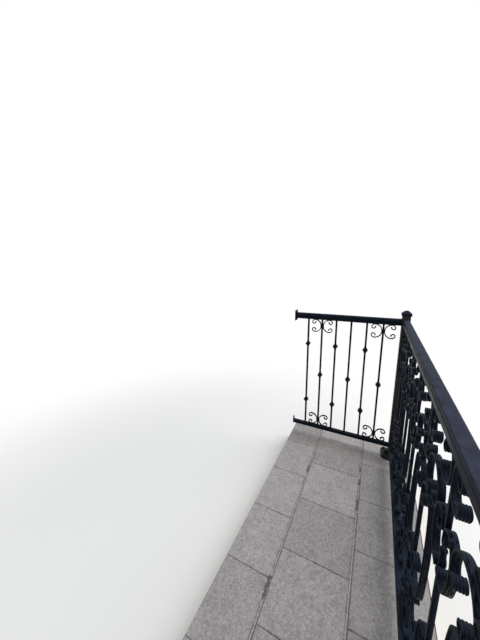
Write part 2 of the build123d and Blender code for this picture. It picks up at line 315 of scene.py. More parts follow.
class Surface(NamedTuple):
    """What a finish shows: its colour, roughness and relief."""

    colour: Socket
    roughness: Socket
    height: Socket


@dataclass(frozen=True)
class Finish:
    """One finish, with its relief's depth and strength, and its sheen. Each kind wires its own surface."""

    name: str
    relief: float = 0.0006
    strength: float = 0.6
    sheen: float = 0.35

    def surface(self, wiring: Wiring, effects: Effects) -> Surface:
        """Return the finish's surface, wired in its material from the shared effects."""
        raise NotImplementedError

    def build(self, effects: Effects) -> Material:
        """Make the material.

        Args:
            effects: the shared effects.

        Returns:
            The material.
        """
        material = bpy.data.materials.new(self.name)
        material.use_nodes = True
        wiring = Wiring(material.node_tree)
        shown = self.surface(wiring, effects)
        relief = {"Height": shown.height, "Distance": self.relief, "Strength": self.strength}
        normal = wiring.add("ShaderNodeBump", relief).outputs["Normal"]
        shader = wiring.add("ShaderNodeBsdfPrincipled", {"Base Color": shown.colour, "Normal": normal,
                            "Roughness": shown.roughness, "Specular IOR Level": self.sheen})
        wiring.add("ShaderNodeOutputMaterial", {"Surface": shader.outputs[0]})
        return material


@dataclass(frozen=True)
class IronPaint(Finish):
    """Satin black paint on wrought iron, with faint runs and a brushed film, dusty on top, with a painted bluish sky
    highlight on faces that look up.
    """

    dark: Colour = (0.0019, 0.0035, 0.0070)
    light: Colour = (0.0062, 0.0100, 0.0180)
    # Bluish colour on faces that look up: settled dust and a painted sky highlight.
    dust_colour: Colour = (0.050, 0.070, 0.115)
    dust: float = 0.20
    run_colour: Colour = (0.060, 0.056, 0.050)
    runs: float = 0.10
    roughness: float = 0.40
    matt: Pair = (-0.06, 0.08)
    dust_matt: float = 0.9
    relief: float = 0.00022
    strength: float = 0.55
    sheen: float = 0.16

    def surface(self, wiring: Wiring, effects: Effects) -> Surface:
        """Wire clouded paint with runs, and dust over it, with a painted bluish sky highlight on faces that look up.

        Args:
            wiring: the material's wiring.
            effects: the shared effects.

        Returns:
            The surface.
        """
        clouds = wiring.group(effects.mottle, Scale=14.0, Contrast=0.22)["Mask"]
        # Mask on faces that look up, for dust and the painted sky highlight.
        dust = wiring.group(effects.dust, Amount=self.dust, Scale=26.0, Reach=0.30)["Mask"]
        runs = wiring.group(effects.runs, Scale=70.0, Amount=self.runs)["Mask"]
        film = wiring.group(effects.grain, Scale=240.0, Pits=0.35)["Height"]
        streaked = wiring.blend(runs, wiring.blend(clouds, self.dark, self.light), self.run_colour)
        matt = wiring.spread(clouds, 0.0, 1.0, *(self.roughness + change for change in self.matt))
        # The dust and the painted bluish sky highlight are blended into the paint's colour here.
        return Surface(wiring.blend(dust, streaked, self.dust_colour),
                       wiring.plus(matt, wiring.times(dust, self.dust_matt)), film)


@dataclass(frozen=True)
class FloorTile(Finish):
    """Warm grey stoneware with a speckled, clouded face, dirty along its edges.

    Each stretch in worn is a seam's place across the floor, and where the wear starts and stops along it. The stain
    band fades in and out between the places in stained.
    """

    pale: Colour = (0.440, 0.420, 0.418)
    deep: Colour = (0.290, 0.276, 0.274)
    light_speck: Colour = (0.58, 0.56, 0.555)
    dark_speck: Colour = (0.150, 0.138, 0.130)
    dirt: Colour = (0.098, 0.090, 0.084)
    stain: Colour = (0.300, 0.235, 0.225)
    tone_range: float = 0.10
    matt: Pair = (0.62, 0.78)
    stained: tuple = (0.965, 1.005, 1.045, 1.085)
    worn: tuple[Triple, ...] = (
        (-0.567, 0.50, 0.60), (-0.567, 0.70, 0.77), (-0.567, 0.83, 0.89), (-0.567, -0.42, -0.30),
        (-0.231, -0.145, -0.04), (-0.234, 0.66, 0.73), (-0.567, -0.86, -0.80), (-0.234, -0.71, -0.60))
    wear_reach: float = 0.010
    wear_fade: float = 0.012

    def surface(self, wiring: Wiring, effects: Effects) -> Surface:
        """Wire clouds and specks, the stain band, and dirt on the rims and along the seams.

        Args:
            wiring: the material's wiring.
            effects: the shared effects.

        Returns:
            The surface.
        """
        spot = wiring.place()
        parts = wiring.split(spot)
        clouds = wiring.group(effects.mottle, Scale=16.0, Contrast=0.13)["Mask"]
        fine = wiring.group(effects.mottle, Scale=64.0, Contrast=0.11)["Mask"]
        grain = wiring.group(effects.grain, Scale=520.0, Pits=0.5)["Height"]
        body = wiring.blend(wiring.plus(wiring.times(clouds, 0.45), wiring.times(fine, 0.55)), self.deep, self.pale)
        body = wiring.blend(wiring.spread(wiring.noise(spot, 120.0), 0.54, 0.64, 0.0, 0.60), body, self.light_speck)
        dark = wiring.noise(wiring.place((1.0, 1.07, 1.0)), 105.0)
        body = wiring.blend(wiring.spread(dark, 0.54, 0.66, 0.0, 0.42), body, self.dark_speck)

        tone = wiring.spread(wiring.mark("tone"), 0.0, 1.0, 1.0 - self.tone_range, 1.0 + self.tone_range)
        body = wiring.add("ShaderNodeHueSaturation", {"Value": tone, "Color": body}).outputs[0]
        opens, opened, closes, closed = self.stained
        broken = wiring.spread(wiring.noise(spot, 17.0, 4.0), 0.36, 0.60, 0.15, 0.62)
        band = wiring.times(wiring.spread(parts["X"], opens, opened),
                            wiring.spread(parts["X"], closes, closed, 1.0, 0.0), broken)
        body = wiring.blend(band, body, self.stain)

        grime = wiring.plus(wiring.spread(wiring.noise(spot, 21.0, 5.0, 0.62), 0.42, 0.70), 0.06)
        edge = wiring.times(wiring.spread(wiring.mark("rim"), 0.68, 1.0, 0.0, 0.70), grime)
        worn = wiring.reckon("MAXIMUM", edge, *self._wear(wiring, spot, parts))
        return Surface(wiring.blend(worn, body, self.dirt), wiring.spread(fine, 0.0, 1.0, *self.matt),
                       wiring.plus(grain, wiring.times(fine, 0.8)))

    def _wear(self, wiring: Wiring, spot: Socket, parts: bpy.types.bpy_prop_collection) -> list[Socket]:
        """Mark short chipped and dirty stretches along the seams that run the balcony's length.

        Args:
            wiring: the material's wiring.
            spot: the object's coordinates.
            parts: the same, apart.

        Returns:
            A mask for each stretch.
        """
        ragged = wiring.spread(wiring.noise(spot, 85.0, 4.0), 0.35, 0.65, -0.004, 0.004)
        along = wiring.plus(parts["X"], wiring.times(ragged, 2.5))
        masks = []
        for seam, start, stop in self.worn:
            away = wiring.plus(wiring.reckon("ABSOLUTE", wiring.reckon("SUBTRACT", parts["Y"], seam)), ragged)
            masks.append(wiring.times(wiring.spread(away, self.wear_reach * 0.5, self.wear_reach, 0.85, 0.0),
                                      wiring.spread(along, start, start + self.wear_fade),
                                      wiring.spread(along, stop - self.wear_fade, stop, 1.0, 0.0)))
        return masks


@dataclass(frozen=True)
class RoughMasonry(Finish):
    """A mineral surface with a sandy or trowelled face and weather marks."""

    pale: Colour = (0.150, 0.136, 0.124)
    deep: Colour = (0.066, 0.059, 0.053)
    stain: Colour = (0.040, 0.035, 0.031)
    cloud_scale: float = 22.0
    grain_scale: float = 520.0
    runs: float = 0.2
    matt: Pair = (0.84, 0.96)
    strength: float = 0.8
    sheen: float = 0.25

    def surface(self, wiring: Wiring, effects: Effects) -> Surface:
        """Wire a clouded body with dark pits and runs.

        Args:
            wiring: the material's wiring.
            effects: the shared effects.

        Returns:
            The surface.
        """
        clouds = wiring.group(effects.mottle, Scale=self.cloud_scale, Contrast=0.2)["Mask"]
        lumps = wiring.group(effects.mottle, Scale=self.cloud_scale * 7.0, Contrast=0.25)["Mask"]
        runs = wiring.group(effects.runs, Scale=24.0, Amount=self.runs)["Mask"]
        grain = wiring.group(effects.grain, Scale=self.grain_scale, Pits=0.6)
        body = wiring.blend(clouds, self.deep, self.pale)
        body = wiring.blend(wiring.times(grain["Mask"], 0.35), body, self.deep)
        return Surface(wiring.blend(runs, body, self.stain), wiring.spread(lumps, 0.0, 1.0, *self.matt),
                       wiring.plus(grain["Height"], wiring.times(lumps, 1.4)))


class Finishes:
    """Every finish of the balcony, built once."""

    def __init__(self) -> None:
        """Build the shared effects and the materials."""
        effects = Effects()
        self.iron = IronPaint("black_iron_paint", dust=0.30, sheen=0.05).build(effects)
        # On the handrail, post caps and wall flanges, faces that look up get a strong painted bluish sky highlight
        # mixed with dust.
        self.rail_iron = IronPaint("handrail_paint", dust_colour=(0.082, 0.090, 0.142), dust=0.52, roughness=0.42,
                                   runs=0.02, sheen=0.05).build(effects)
        self.post_iron = IronPaint("post_paint", dark=(0.0155, 0.0140, 0.0132), light=(0.0285, 0.0250, 0.0230),
                                   dust=0.16, runs=0.30, roughness=0.44, sheen=0.10).build(effects)
        # The thin bars' black paint carries a warm tint that is a painted reflection of sunlit stone.
        self.bar_iron = IronPaint("thin_bar_paint", dark=(0.0050, 0.0043, 0.0038), light=(0.0110, 0.0088, 0.0072),
                                  dust=0.08, sheen=0.06).build(effects)
        self.bolt_iron = IronPaint("bolt_paint", dark=(0.010, 0.009, 0.008), light=(0.026, 0.021, 0.017),
                                   dust=0.14, runs=0.30, roughness=0.52).build(effects)
        self.edge = IronPaint("edge_trim_paint", dark=(0.030, 0.027, 0.024), light=(0.058, 0.052, 0.046),
                              dust=0.30, runs=0.25, roughness=0.50).build(effects)
        self.tile = FloorTile("floor_tile").build(effects)
        self.mortar = RoughMasonry("joint_mortar").build(effects)
        self.stucco = RoughMasonry(
            "sand_stucco", pale=(0.640, 0.520, 0.385), deep=(0.500, 0.395, 0.285), stain=(0.270, 0.215, 0.160),
            cloud_scale=5.0, grain_scale=260.0, relief=0.0018, runs=0.45).build(effects)


# The bench: edit steps on one new piece at a time


class Bench:
    """Shapes one new piece with edit-mode steps. Each step returns the bench, for the next."""

    def __init__(self) -> None:
        """Start with nothing on the bench."""
        self.piece: Optional[Object] = None

    def start(self, name: str, add: Callable, scale: Triple = WHOLE, **values: object) -> "Bench":
        """Put a primitive on the bench, fix its size in its mesh and open it.

        Args:
            name: the piece's name.
            add: the step that adds the primitive.
            scale: its size along each axis.
            **values: what that step is given.

        Returns:
            The bench.
        """
        bpy.ops.object.select_all(action="DESELECT")
        add(**values)
        self.piece = bpy.context.object
        self.piece.name = self.piece.data.name = name
        self.piece.scale = scale
        bpy.ops.object.transform_apply(location=True, rotation=True, scale=True)
        bpy.ops.object.mode_set(mode="EDIT")
        bpy.ops.mesh.select_all(action="SELECT")
        return self

    def cube(self, name: str, low: Triple, high: Triple) -> "Bench":
        """Put a box between two corners on the bench."""
        size = tuple(b - a for a, b in zip(low, high))
        centre = [(a + b) / 2 for a, b in zip(low, high)]
        return self.start(name, bpy.ops.mesh.primitive_cube_add, size, size=1.0, location=centre)

    def block(self, name: str, x: float, y: float, size: float, low: float, high: float) -> "Bench":
        """Put an upright square block about a line through x and y on the bench, from one level to another."""
        half = size / 2
        return self.cube(name, (x - half, y - half, low), (x + half, y + half, high))

    def plane(self, name: str, centre: Triple, size: Pair, tilt: float = 0.0) -> "Bench":
        """Put a flat piece on the bench, tilted about Y by some radians."""
        return self.start(name, bpy.ops.mesh.primitive_plane_add, (*size, 1.0), size=1.0, location=centre,
                          rotation=(0.0, tilt, 0.0))

    def cylinder(self, name: str, centre: Triple, size: Pair, sides: int, turn: Triple = (0.0, 0.0, 0.0)) -> "Bench":
        """Put a round or many-sided bar on the bench, its size as radius and length, turned by some radians."""
        return self.start(name, bpy.ops.mesh.primitive_cylinder_add, vertices=sides, radius=size[0], depth=size[1],
                          location=centre, rotation=turn)

    def choose(self, kind: Pick, fits: Callable[[object], bool]) -> "Bench":
        """Select the elements that fit, and nothing else.

        Args:
            kind: what is selected.
            fits: the test of an element.

        Returns:
            The bench.
        """
        bpy.ops.mesh.select_mode(type=kind.name)
        bpy.ops.mesh.select_all(action="DESELECT")
        mesh = bmesh.from_edit_mesh(self.piece.data)
        for element in getattr(mesh, kind.value):
            if fits(element):
                element.select_set(True)
        mesh.select_flush_mode()
        bmesh.update_edit_mesh(self.piece.data)
        return self

    def pick(self, kind: Pick, test: Test) -> "Bench":
        """Select the elements whose every corner passes a test of its place."""
        return self.choose(kind, lambda part: all(test(corner.co) for corner in getattr(part, "verts", (part,))))

    def pick_facing(self, way: Triple, test: Test = lambda place: True) -> "Bench":
        """Select the faces that look one way and whose middle passes a test."""
        bmesh.from_edit_mesh(self.piece.data).normal_update()
        return self.choose(Pick.FACE, lambda face: face.normal.dot(Vector(way)) > FACING
                           and test(face.calc_center_median()))

    def pick_along(self, axis: int, test: Test = lambda place: True) -> "Bench":
        """Select the edges that run along an axis (0, 1 or 2) and whose middle passes a test.

        Args:
            axis: 0, 1 or 2 for X, Y or Z.
            test: the test.

        Returns:
            The bench.
        """
        def fits(edge: bmesh.types.BMEdge) -> bool:
            """Tell whether one edge is such an edge."""
            first, second = (vert.co for vert in edge.verts)
            return abs((second - first).normalized()[axis]) > PARALLEL and test((first + second) / 2)

        return self.choose(Pick.EDGE, fits)

    def bevel(self, width: float, segments: int = 2, corners: bool = False) -> "Bench":
        """Round the selected edges, or the selected corners of a flat piece."""
        bpy.ops.mesh.bevel(offset=width, segments=segments, affect="VERTICES" if corners else "EDGES",
                           clamp_overlap=True)
        return self

    def inset(self, width: float) -> "Bench":
        """Set the selected faces in by a width."""
        bpy.ops.mesh.inset(thickness=width, depth=0.0, use_even_offset=True)
        return self

    def pull(self, way: Sequence[float]) -> "Bench":
        """Extrude the selection along a vector."""
        bpy.ops.mesh.extrude_region_move(TRANSFORM_OT_translate={"value": tuple(way)})
        return self

    def move(self, way: Sequence[float]) -> "Bench":
        """Move the selection along a vector."""
        bpy.ops.transform.translate(value=tuple(way))
        return self

    def resize(self, factor: Triple, centre: Sequence[float]) -> "Bench":
        """Scale the selection along each axis, about a centre."""
        bpy.ops.transform.resize(value=factor, center_override=tuple(centre))
        return self

    def slice(self, place: Triple, normal: Triple) -> "Bench":
        """Cut the whole piece's faces along a plane, and keep both halves."""
        bpy.ops.mesh.select_all(action="SELECT")
        bpy.ops.mesh.bisect(plane_co=place, plane_no=normal)
        return self

    def close(self, angle: float = 35.0) -> Object:
        """Clean the piece up and take it off the bench.

        Args:
            angle: edges flatter than this are shaded smooth, in degrees.

        Returns:
            The finished piece.
        """
        bpy.ops.mesh.select_all(action="SELECT")
        bpy.ops.mesh.remove_doubles(threshold=1e-6)
        bpy.ops.mesh.normals_make_consistent(inside=False)
        bpy.ops.object.mode_set(mode="OBJECT")
        bpy.ops.object.select_all(action="DESELECT")
        self.piece.select_set(True)
        bpy.context.view_layer.objects.active = self.piece
        bpy.ops.object.shade_smooth_by_angle(angle=math.radians(angle))
        return self.piece


def place_copy(model: Object, shift: Matrix) -> Object:
    """Copy a piece with its own mesh, and put the copy's place into that mesh.

    Args:
        model: the piece that is modelled once.
        shift: where the copy goes, as a matrix that may mirror.

    Returns:
        The copy.
    """
    copy = model.copy()
    copy.data = model.data.copy()
    bpy.context.scene.collection.objects.link(copy)
    copy.data.transform(shift)
    if shift.determinant() < 0:
        copy.data.flip_normals()
    return copy


def join(parts: Sequence[Object], name: str) -> Object:
    """Join loose pieces into one object.

    Args:
        parts: the pieces.
        name: the joined piece's name.

    Returns:
        The joined piece.
    """
    bpy.ops.object.select_all(action="DESELECT")
    for part in parts:
        part.select_set(True)
    bpy.context.view_layer.objects.active = parts[0]
    bpy.ops.object.join()
    joined = bpy.context.object
    joined.name = joined.data.name = name
    return joined


def remove(*models: Object) -> None:
    """Delete pieces that were only there to be copied."""
    for model in models:
        bpy.data.objects.remove(model, do_unlink=True)


def hang(piece: Object, name: str, material: Material, *nodes: str, slot: Slot = Slot.IRON) -> None:
    """Give a finished piece its name, its material, its body and the nodes that it stands for.

    Args:
        piece: the piece.
        name: its name.
        material: its finish.
        *nodes: the plain solids it replaces.
        slot: the record's name for the finish; not used.
    """
    piece.name = name
    piece.data.materials.clear()
    piece.data.materials.append(material)
    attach(piece, "root")
    if nodes:
        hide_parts(*nodes)
    piece.data.calc_loop_triangles()
    log.info("%s: %d triangles", piece.name, len(piece.data.loop_triangles))


def at(axis: int, level: float) -> Test:
    """Return a test of whether a place lies at a level along an axis (0, 1 or 2)."""
    return lambda place: abs(place[axis] - level) < NEAR


def on_outline(x: float, y: float, half: float) -> Test:
    """Return a test of whether a place lies on the outline of a square about a line through x and y."""
    return lambda place: max(abs(place.x - x), abs(place.y - y)) > half - NEAR


def flip_over() -> Matrix:
    """Return the matrix that turns what is above the guard's middle upside down below it."""
    middle = Vector((0.0, 0.0, MIDDLE))
    return Matrix.Translation(middle) @ Matrix.Diagonal((1, 1, -1, 1)) @ Matrix.Translation(-middle)


def at_line(line: int, side: int = 1, level: float = 0.0) -> Matrix:
    """Return the matrix that takes what is modelled at line 0 to a bar line, mirrored where the side is -1."""
    return Matrix.Translation((line * BAY, -GUARD_DEPTH, level)) @ Matrix.Diagonal((side, 1, 1, 1))


# Scrolls: flat bar rolled along tangent arcs


class Arc(NamedTuple):
    """One arc of a scroll's middle line, with ribs pressed into it or not."""

    radius: float
    sweep: float
    ribbed: bool = False


def arcs_of(*pairs: Pair) -> tuple[Arc, ...]:
    """Return arcs from radius and sweep pairs, ribbed once their radius is that of a rolled end."""
    return tuple(Arc(radius, sweep, radius < RIBBED_FROM) for radius, sweep in pairs)


class Heading(NamedTuple):
    """A place in the panel's plane and the way the bar runs there, in degrees from +X towards +Z."""

    x: float
    z: float
    angle: float

    @property
    def spot(self) -> Vector:
        """The place in space."""
        return Vector((self.x, 0.0, self.z))

    def along(self, length: float = 1.0) -> Vector:
        """Return a step of some length the way the bar runs."""
        turn = math.radians(self.angle)
        return Vector((length * math.cos(turn), 0.0, length * math.sin(turn)))

    def centre(self, radius: float, turn: int) -> Vector:
        """Return the centre of an arc that starts here and turns left (1) or right (-1)."""
        side = math.radians(self.angle + 90.0 * turn)
        return Vector((self.x + radius * math.cos(side), 0.0, self.z + radius * math.sin(side)))

    def after(self, arcs: Sequence[Arc], turn: int) -> "Heading":
        """Return the heading at the end of a run of arcs that starts here.

        Args:
            arcs: the arcs.
            turn: the way they turn, left (1) or right (-1).

        Returns:
            The heading.
        """
        here = self
        for radius, sweep, _ in arcs:
            middle = here.centre(radius, turn)
            side = math.radians(here.angle + turn * sweep - 90.0 * turn)
            here = Heading(middle.x + radius * math.cos(side), middle.z + radius * math.sin(side),
                           here.angle + turn * sweep)
        return here

    def forward(self, length: float) -> "Heading":
        """Return the heading a straight length further on."""
        step = self.along(length)
        return Heading(self.x + step.x, self.z + step.z, self.angle)


@dataclass(frozen=True)
class FlatBar:
    """The flat bar that a scroll is rolled from, and how its ends are ribbed, fanned out or swollen to a bulb.

    An arc is bent in steps of at most coarse_turn degrees, or fine_turn up to fine_radius, and never longer than
    stride. The bulb's steps are a length and a growth, in shares of the bar's thickness and of its section. A corner
    of the section belongs to a broad face beyond on_face of the thickness, and to a rib's line within on_line of the
    pitch.
    """

    thickness: float
    depth: float
    corner: float
    cuts: int = 0
    rib: float = 0.0
    fan: float = 0.0
    fan_steps: int = 7
    fine_turn: float = 12.0
    coarse_turn: float = 9.0
    fine_radius: float = 0.025
    stride: float = 0.012
    bulb: tuple[Pair, ...] = ()
    bulb_depth: float = 0.35
    tip: float = 0.0016
    tip_growth: Triple = (0.55, 0.93, 0.55)
    on_face: float = 0.4
    on_line: float = 0.1
    smooth: float = 50.0

    def roll(self, name: str, start: Heading, flat: float, ahead: Sequence[Arc], behind: Sequence[Arc],
             turn: int) -> Object:
        """Roll a scroll outwards from the middle of its back.

        Args:
            name: the piece's name.
            start: the middle of its back and the way it runs there.
            flat: the straight length at its back.
            ahead: the arcs that follow the heading.
            behind: the arcs that go the other way, or none.
            turn: the way it curls ahead, left (1) or right (-1).

        Returns:
            The scroll, in the XZ plane.
        """
        bench = Bench().plane(name, start.spot, (self.thickness, self.depth), math.radians(90.0 - start.angle))
        bench.bevel(self.corner, 2, corners=True)
        if self.cuts:
            bench.pick_along(1)
            bpy.ops.mesh.subdivide(number_cuts=self.cuts)
        bpy.ops.mesh.select_all(action="SELECT")
        bpy.ops.mesh.delete(type="ONLY_FACE")
        self._leg(bench, start, flat, ahead, turn)
        if behind:
            self._leg(bench, Heading(start.x, start.z, start.angle + 180.0), flat, behind, -turn)
        else:
            self._ring_at(bench, start)
            bpy.ops.mesh.edge_face_add()
        return bench.close(self.smooth)

    def _ring_at(self, bench: Bench, start: Heading) -> None:
        """Select the bar's section at a heading."""
        bench.pick(Pick.VERT, lambda place: abs((place - start.spot).dot(start.along())) < NEAR
                   and Vector((place.x - start.x, 0.0, place.z - start.z)).length < self.thickness)

    def _leg(self, bench: Bench, start: Heading, flat: float, arcs: Sequence[Arc], turn: int) -> None:
        """Roll one leg of the scroll from its section at the start.

        Args:
            bench: the bench that holds the scroll.
            start: where the leg starts and the way it goes.
            flat: the straight length at the scroll's back.
            arcs: the leg's arcs.
            turn: the way they turn.
        """
        self._ring_at(bench, start)
        if flat > 0:
            start = self._draw_out(bench, start, flat / 2)
        width = self.depth
        for arc in arcs:
            most = self.coarse_turn if arc.radius > self.fine_radius else self.fine_turn
            steps = max(2, math.ceil(arc.sweep / most), math.ceil(math.radians(arc.sweep) * arc.radius / self.stride))
            part = arc.sweep / steps
            while arc.ribbed and steps and width < self.fan - NEAR:
                start = self._spin(bench, start, Arc(arc.radius, part), 1, turn)
                steps -= 1
                if width == self.depth:
                    self._press_ribs(bench, start)
                wider = width + (self.fan - self.depth) / self.fan_steps
                bench.resize((1.0, wider / width, 1.0), start.spot)
                width = wider
            if steps:
                start = self._spin(bench, start, Arc(arc.radius, part * steps), steps, turn)
        for share, growth in self.bulb:
            grown = (growth, 1.0 + (growth - 1.0) * self.bulb_depth, growth)
            start = self._draw_out(bench, start, self.thickness * share, grown)
        self._draw_out(bench, start, self.tip, self.tip_growth)
        bpy.ops.mesh.edge_face_add()

    @staticmethod
    def _draw_out(bench: Bench, start: Heading, length: float, growth: Triple = WHOLE) -> Heading:
        """Draw the selected section straight on and let it grow or shrink.

        Args:
            bench: the bench that holds the scroll.
            start: the section's heading.
            length: how far it is drawn.
            growth: its scale along each axis.

        Returns:
            The section's new heading.
        """
        end = start.forward(length)
        bench.pull(start.along(length)).resize(growth, end.spot)
        return end

    @staticmethod
    def _spin(bench: Bench, start: Heading, arc: Arc, steps: int, turn: int) -> Heading:
        """Spin the selected section along an arc in some steps, and return its new heading."""
        bpy.ops.mesh.spin(steps=steps, dupli=False, angle=math.radians(arc.sweep), axis=(0.0, float(turn), 0.0),
                          center=start.centre(arc.radius, turn))
        return start.after([arc], turn)

    def _press_ribs(self, bench: Bench, start: Heading) -> None:
        """Sink every second line of the selected section, on both broad faces, so that ribs stand between them.

        Args:
            bench: the bench that holds the scroll.
            start: the section's heading.
        """
        ring = {vert.index for vert in bmesh.from_edit_mesh(bench.piece.data).verts if vert.select}
        side = Vector((-start.along().z, 0.0, start.along().x))
        pitch = (self.depth - 2 * self.corner) / (self.cuts + 1)
        for way in (-1, 1):
            def sinks(vert: bmesh.types.BMVert) -> bool:
                """Tell whether a corner of the section is on a line that sinks."""
                line = (vert.co.y + self.depth / 2 - self.corner) / pitch
                return (vert.index in ring and abs(line - round(line)) < self.on_line and round(line) % 2 == 1
                        and (vert.co - start.spot).dot(side) * way > self.thickness * self.on_face)

            bench.choose(Pick.VERT, sinks).move(side * (-way * self.rib))
        bench.choose(Pick.VERT, lambda vert: vert.index in ring)


# Sub-assemblies


@dataclass
class Floor:
    """The tiled slab: stucco body, mortar bed, single tiles, grout cracked along the long seams, and the metal edge.

    Each row of tiles is the place of its front, of its back and of one of its joints, from which steps count the
    others.
    """

    pitch: float = 0.3345
    joint: float = 0.0024
    seam: float = 0.0028
    grout: float = 0.0080
    grout_gap: float = 0.0009
    grout_sink: float = 0.0004
    grout_tone: float = 0.90
    tile_thickness: float = 0.010
    least_tile: float = 0.020
    most_sink: float = 0.0004
    joint_depth: float = 0.0018
    bed_margin: float = 0.001
    bed_inset: float = 0.004
    edge_round: float = 0.0011
    rim: float = 0.013
    rim_share: float = 0.2
    steps: range = range(-8, 5)
    rows: tuple[Triple, ...] = ((-SLAB_FRONT, -0.574, 0.597), (-0.574, -0.2406, 0.442), (-0.2406, 0.0, 0.615))
    seed: int = 17

    def build(self, finishes: Finishes) -> None:
        """Lay the tiles and dress the solids that stay.

        Args:
            finishes: the balcony's finishes.
        """
        draw = random.Random(self.seed)
        base = FLOOR - self.tile_thickness
        tiles = []
        for front, back, first in self.rows:
            if front > -SLAB_FRONT:
                grout_low, grout_high = front + self.seam / 2, front + self.seam / 2 + self.grout
                front = grout_high + self.grout_gap
                tiles.append(self._tile((-SLAB_END, grout_low, base), (SLAB_END, grout_high, FLOOR - self.grout_sink),
                                        self.grout_tone))
            if back < 0:
                back -= self.seam / 2
            joints = [first + k * self.pitch for k in self.steps]
            edges = [-SLAB_END] + [x for x in joints if abs(x) < SLAB_END - self.least_tile] + [SLAB_END]
            for low, high in zip(edges, edges[1:]):
                low_x = low + (self.joint / 2 if low > -SLAB_END else 0.0)
                high_x = high - (self.joint / 2 if high < SLAB_END else 0.0)
                top = FLOOR - draw.uniform(0.0, self.most_sink)
                tiles.append(self._tile((low_x, front, base), (high_x, back, top), draw.random()))
        hang(join(tiles, "tiles"), "tiles", finishes.tile, "floor_tiles", slot=Slot.TILE)

        end, margin = SLAB_END - self.bed_margin, self.bed_margin
        bench = Bench().cube("bed", (-end, margin - SLAB_FRONT, base), (end, 0.0, FLOOR - self.joint_depth))
        bench.pick_facing(UP).inset(self.bed_inset)
        hang(bench.close(), "joint_filling", finishes.mortar, slot=Slot.MORTAR)
        for node, material in (("floor_slab", finishes.stucco), ("mortar_bed", finishes.mortar),
                               *((f"edge_trim_{place}", finishes.edge) for place in ("front", "left", "right"))):
            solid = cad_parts[node]
            solid.data.materials.clear()
            solid.data.materials.append(material)
            log.info("%s: finished", node)

    def _tile(self, low: Triple, high: Triple, tone: float) -> Object:
        """Model one tile with a rounded edge and a marked rim.

        Args:
            low: its lowest corner.
            high: its highest corner.
            tone: how light it is, from 0 to 1.

        Returns:
            The tile.
        """
        bench = Bench().cube("tile", low, high)
        bench.pick(Pick.EDGE, at(2, high[2])).bevel(self.edge_round)
        rim_width = min(self.rim, (high[1] - low[1]) * self.rim_share)
        bench.pick_facing(UP, at(2, high[2])).inset(rim_width)
        mesh = bmesh.from_edit_mesh(bench.piece.data)
        inner = {tuple(round(part, 6) for part in vert.co) for vert in mesh.verts if vert.select}
        tile = bench.close()
        rim, shade = (tile.data.attributes.new(name, "FLOAT", "POINT") for name in ("rim", "tone"))
        for vert in tile.data.vertices:
            rim.data[vert.index].value = float(tuple(round(part, 6) for part in vert.co) not in inner)
            shade.data[vert.index].value = tone
        return tile


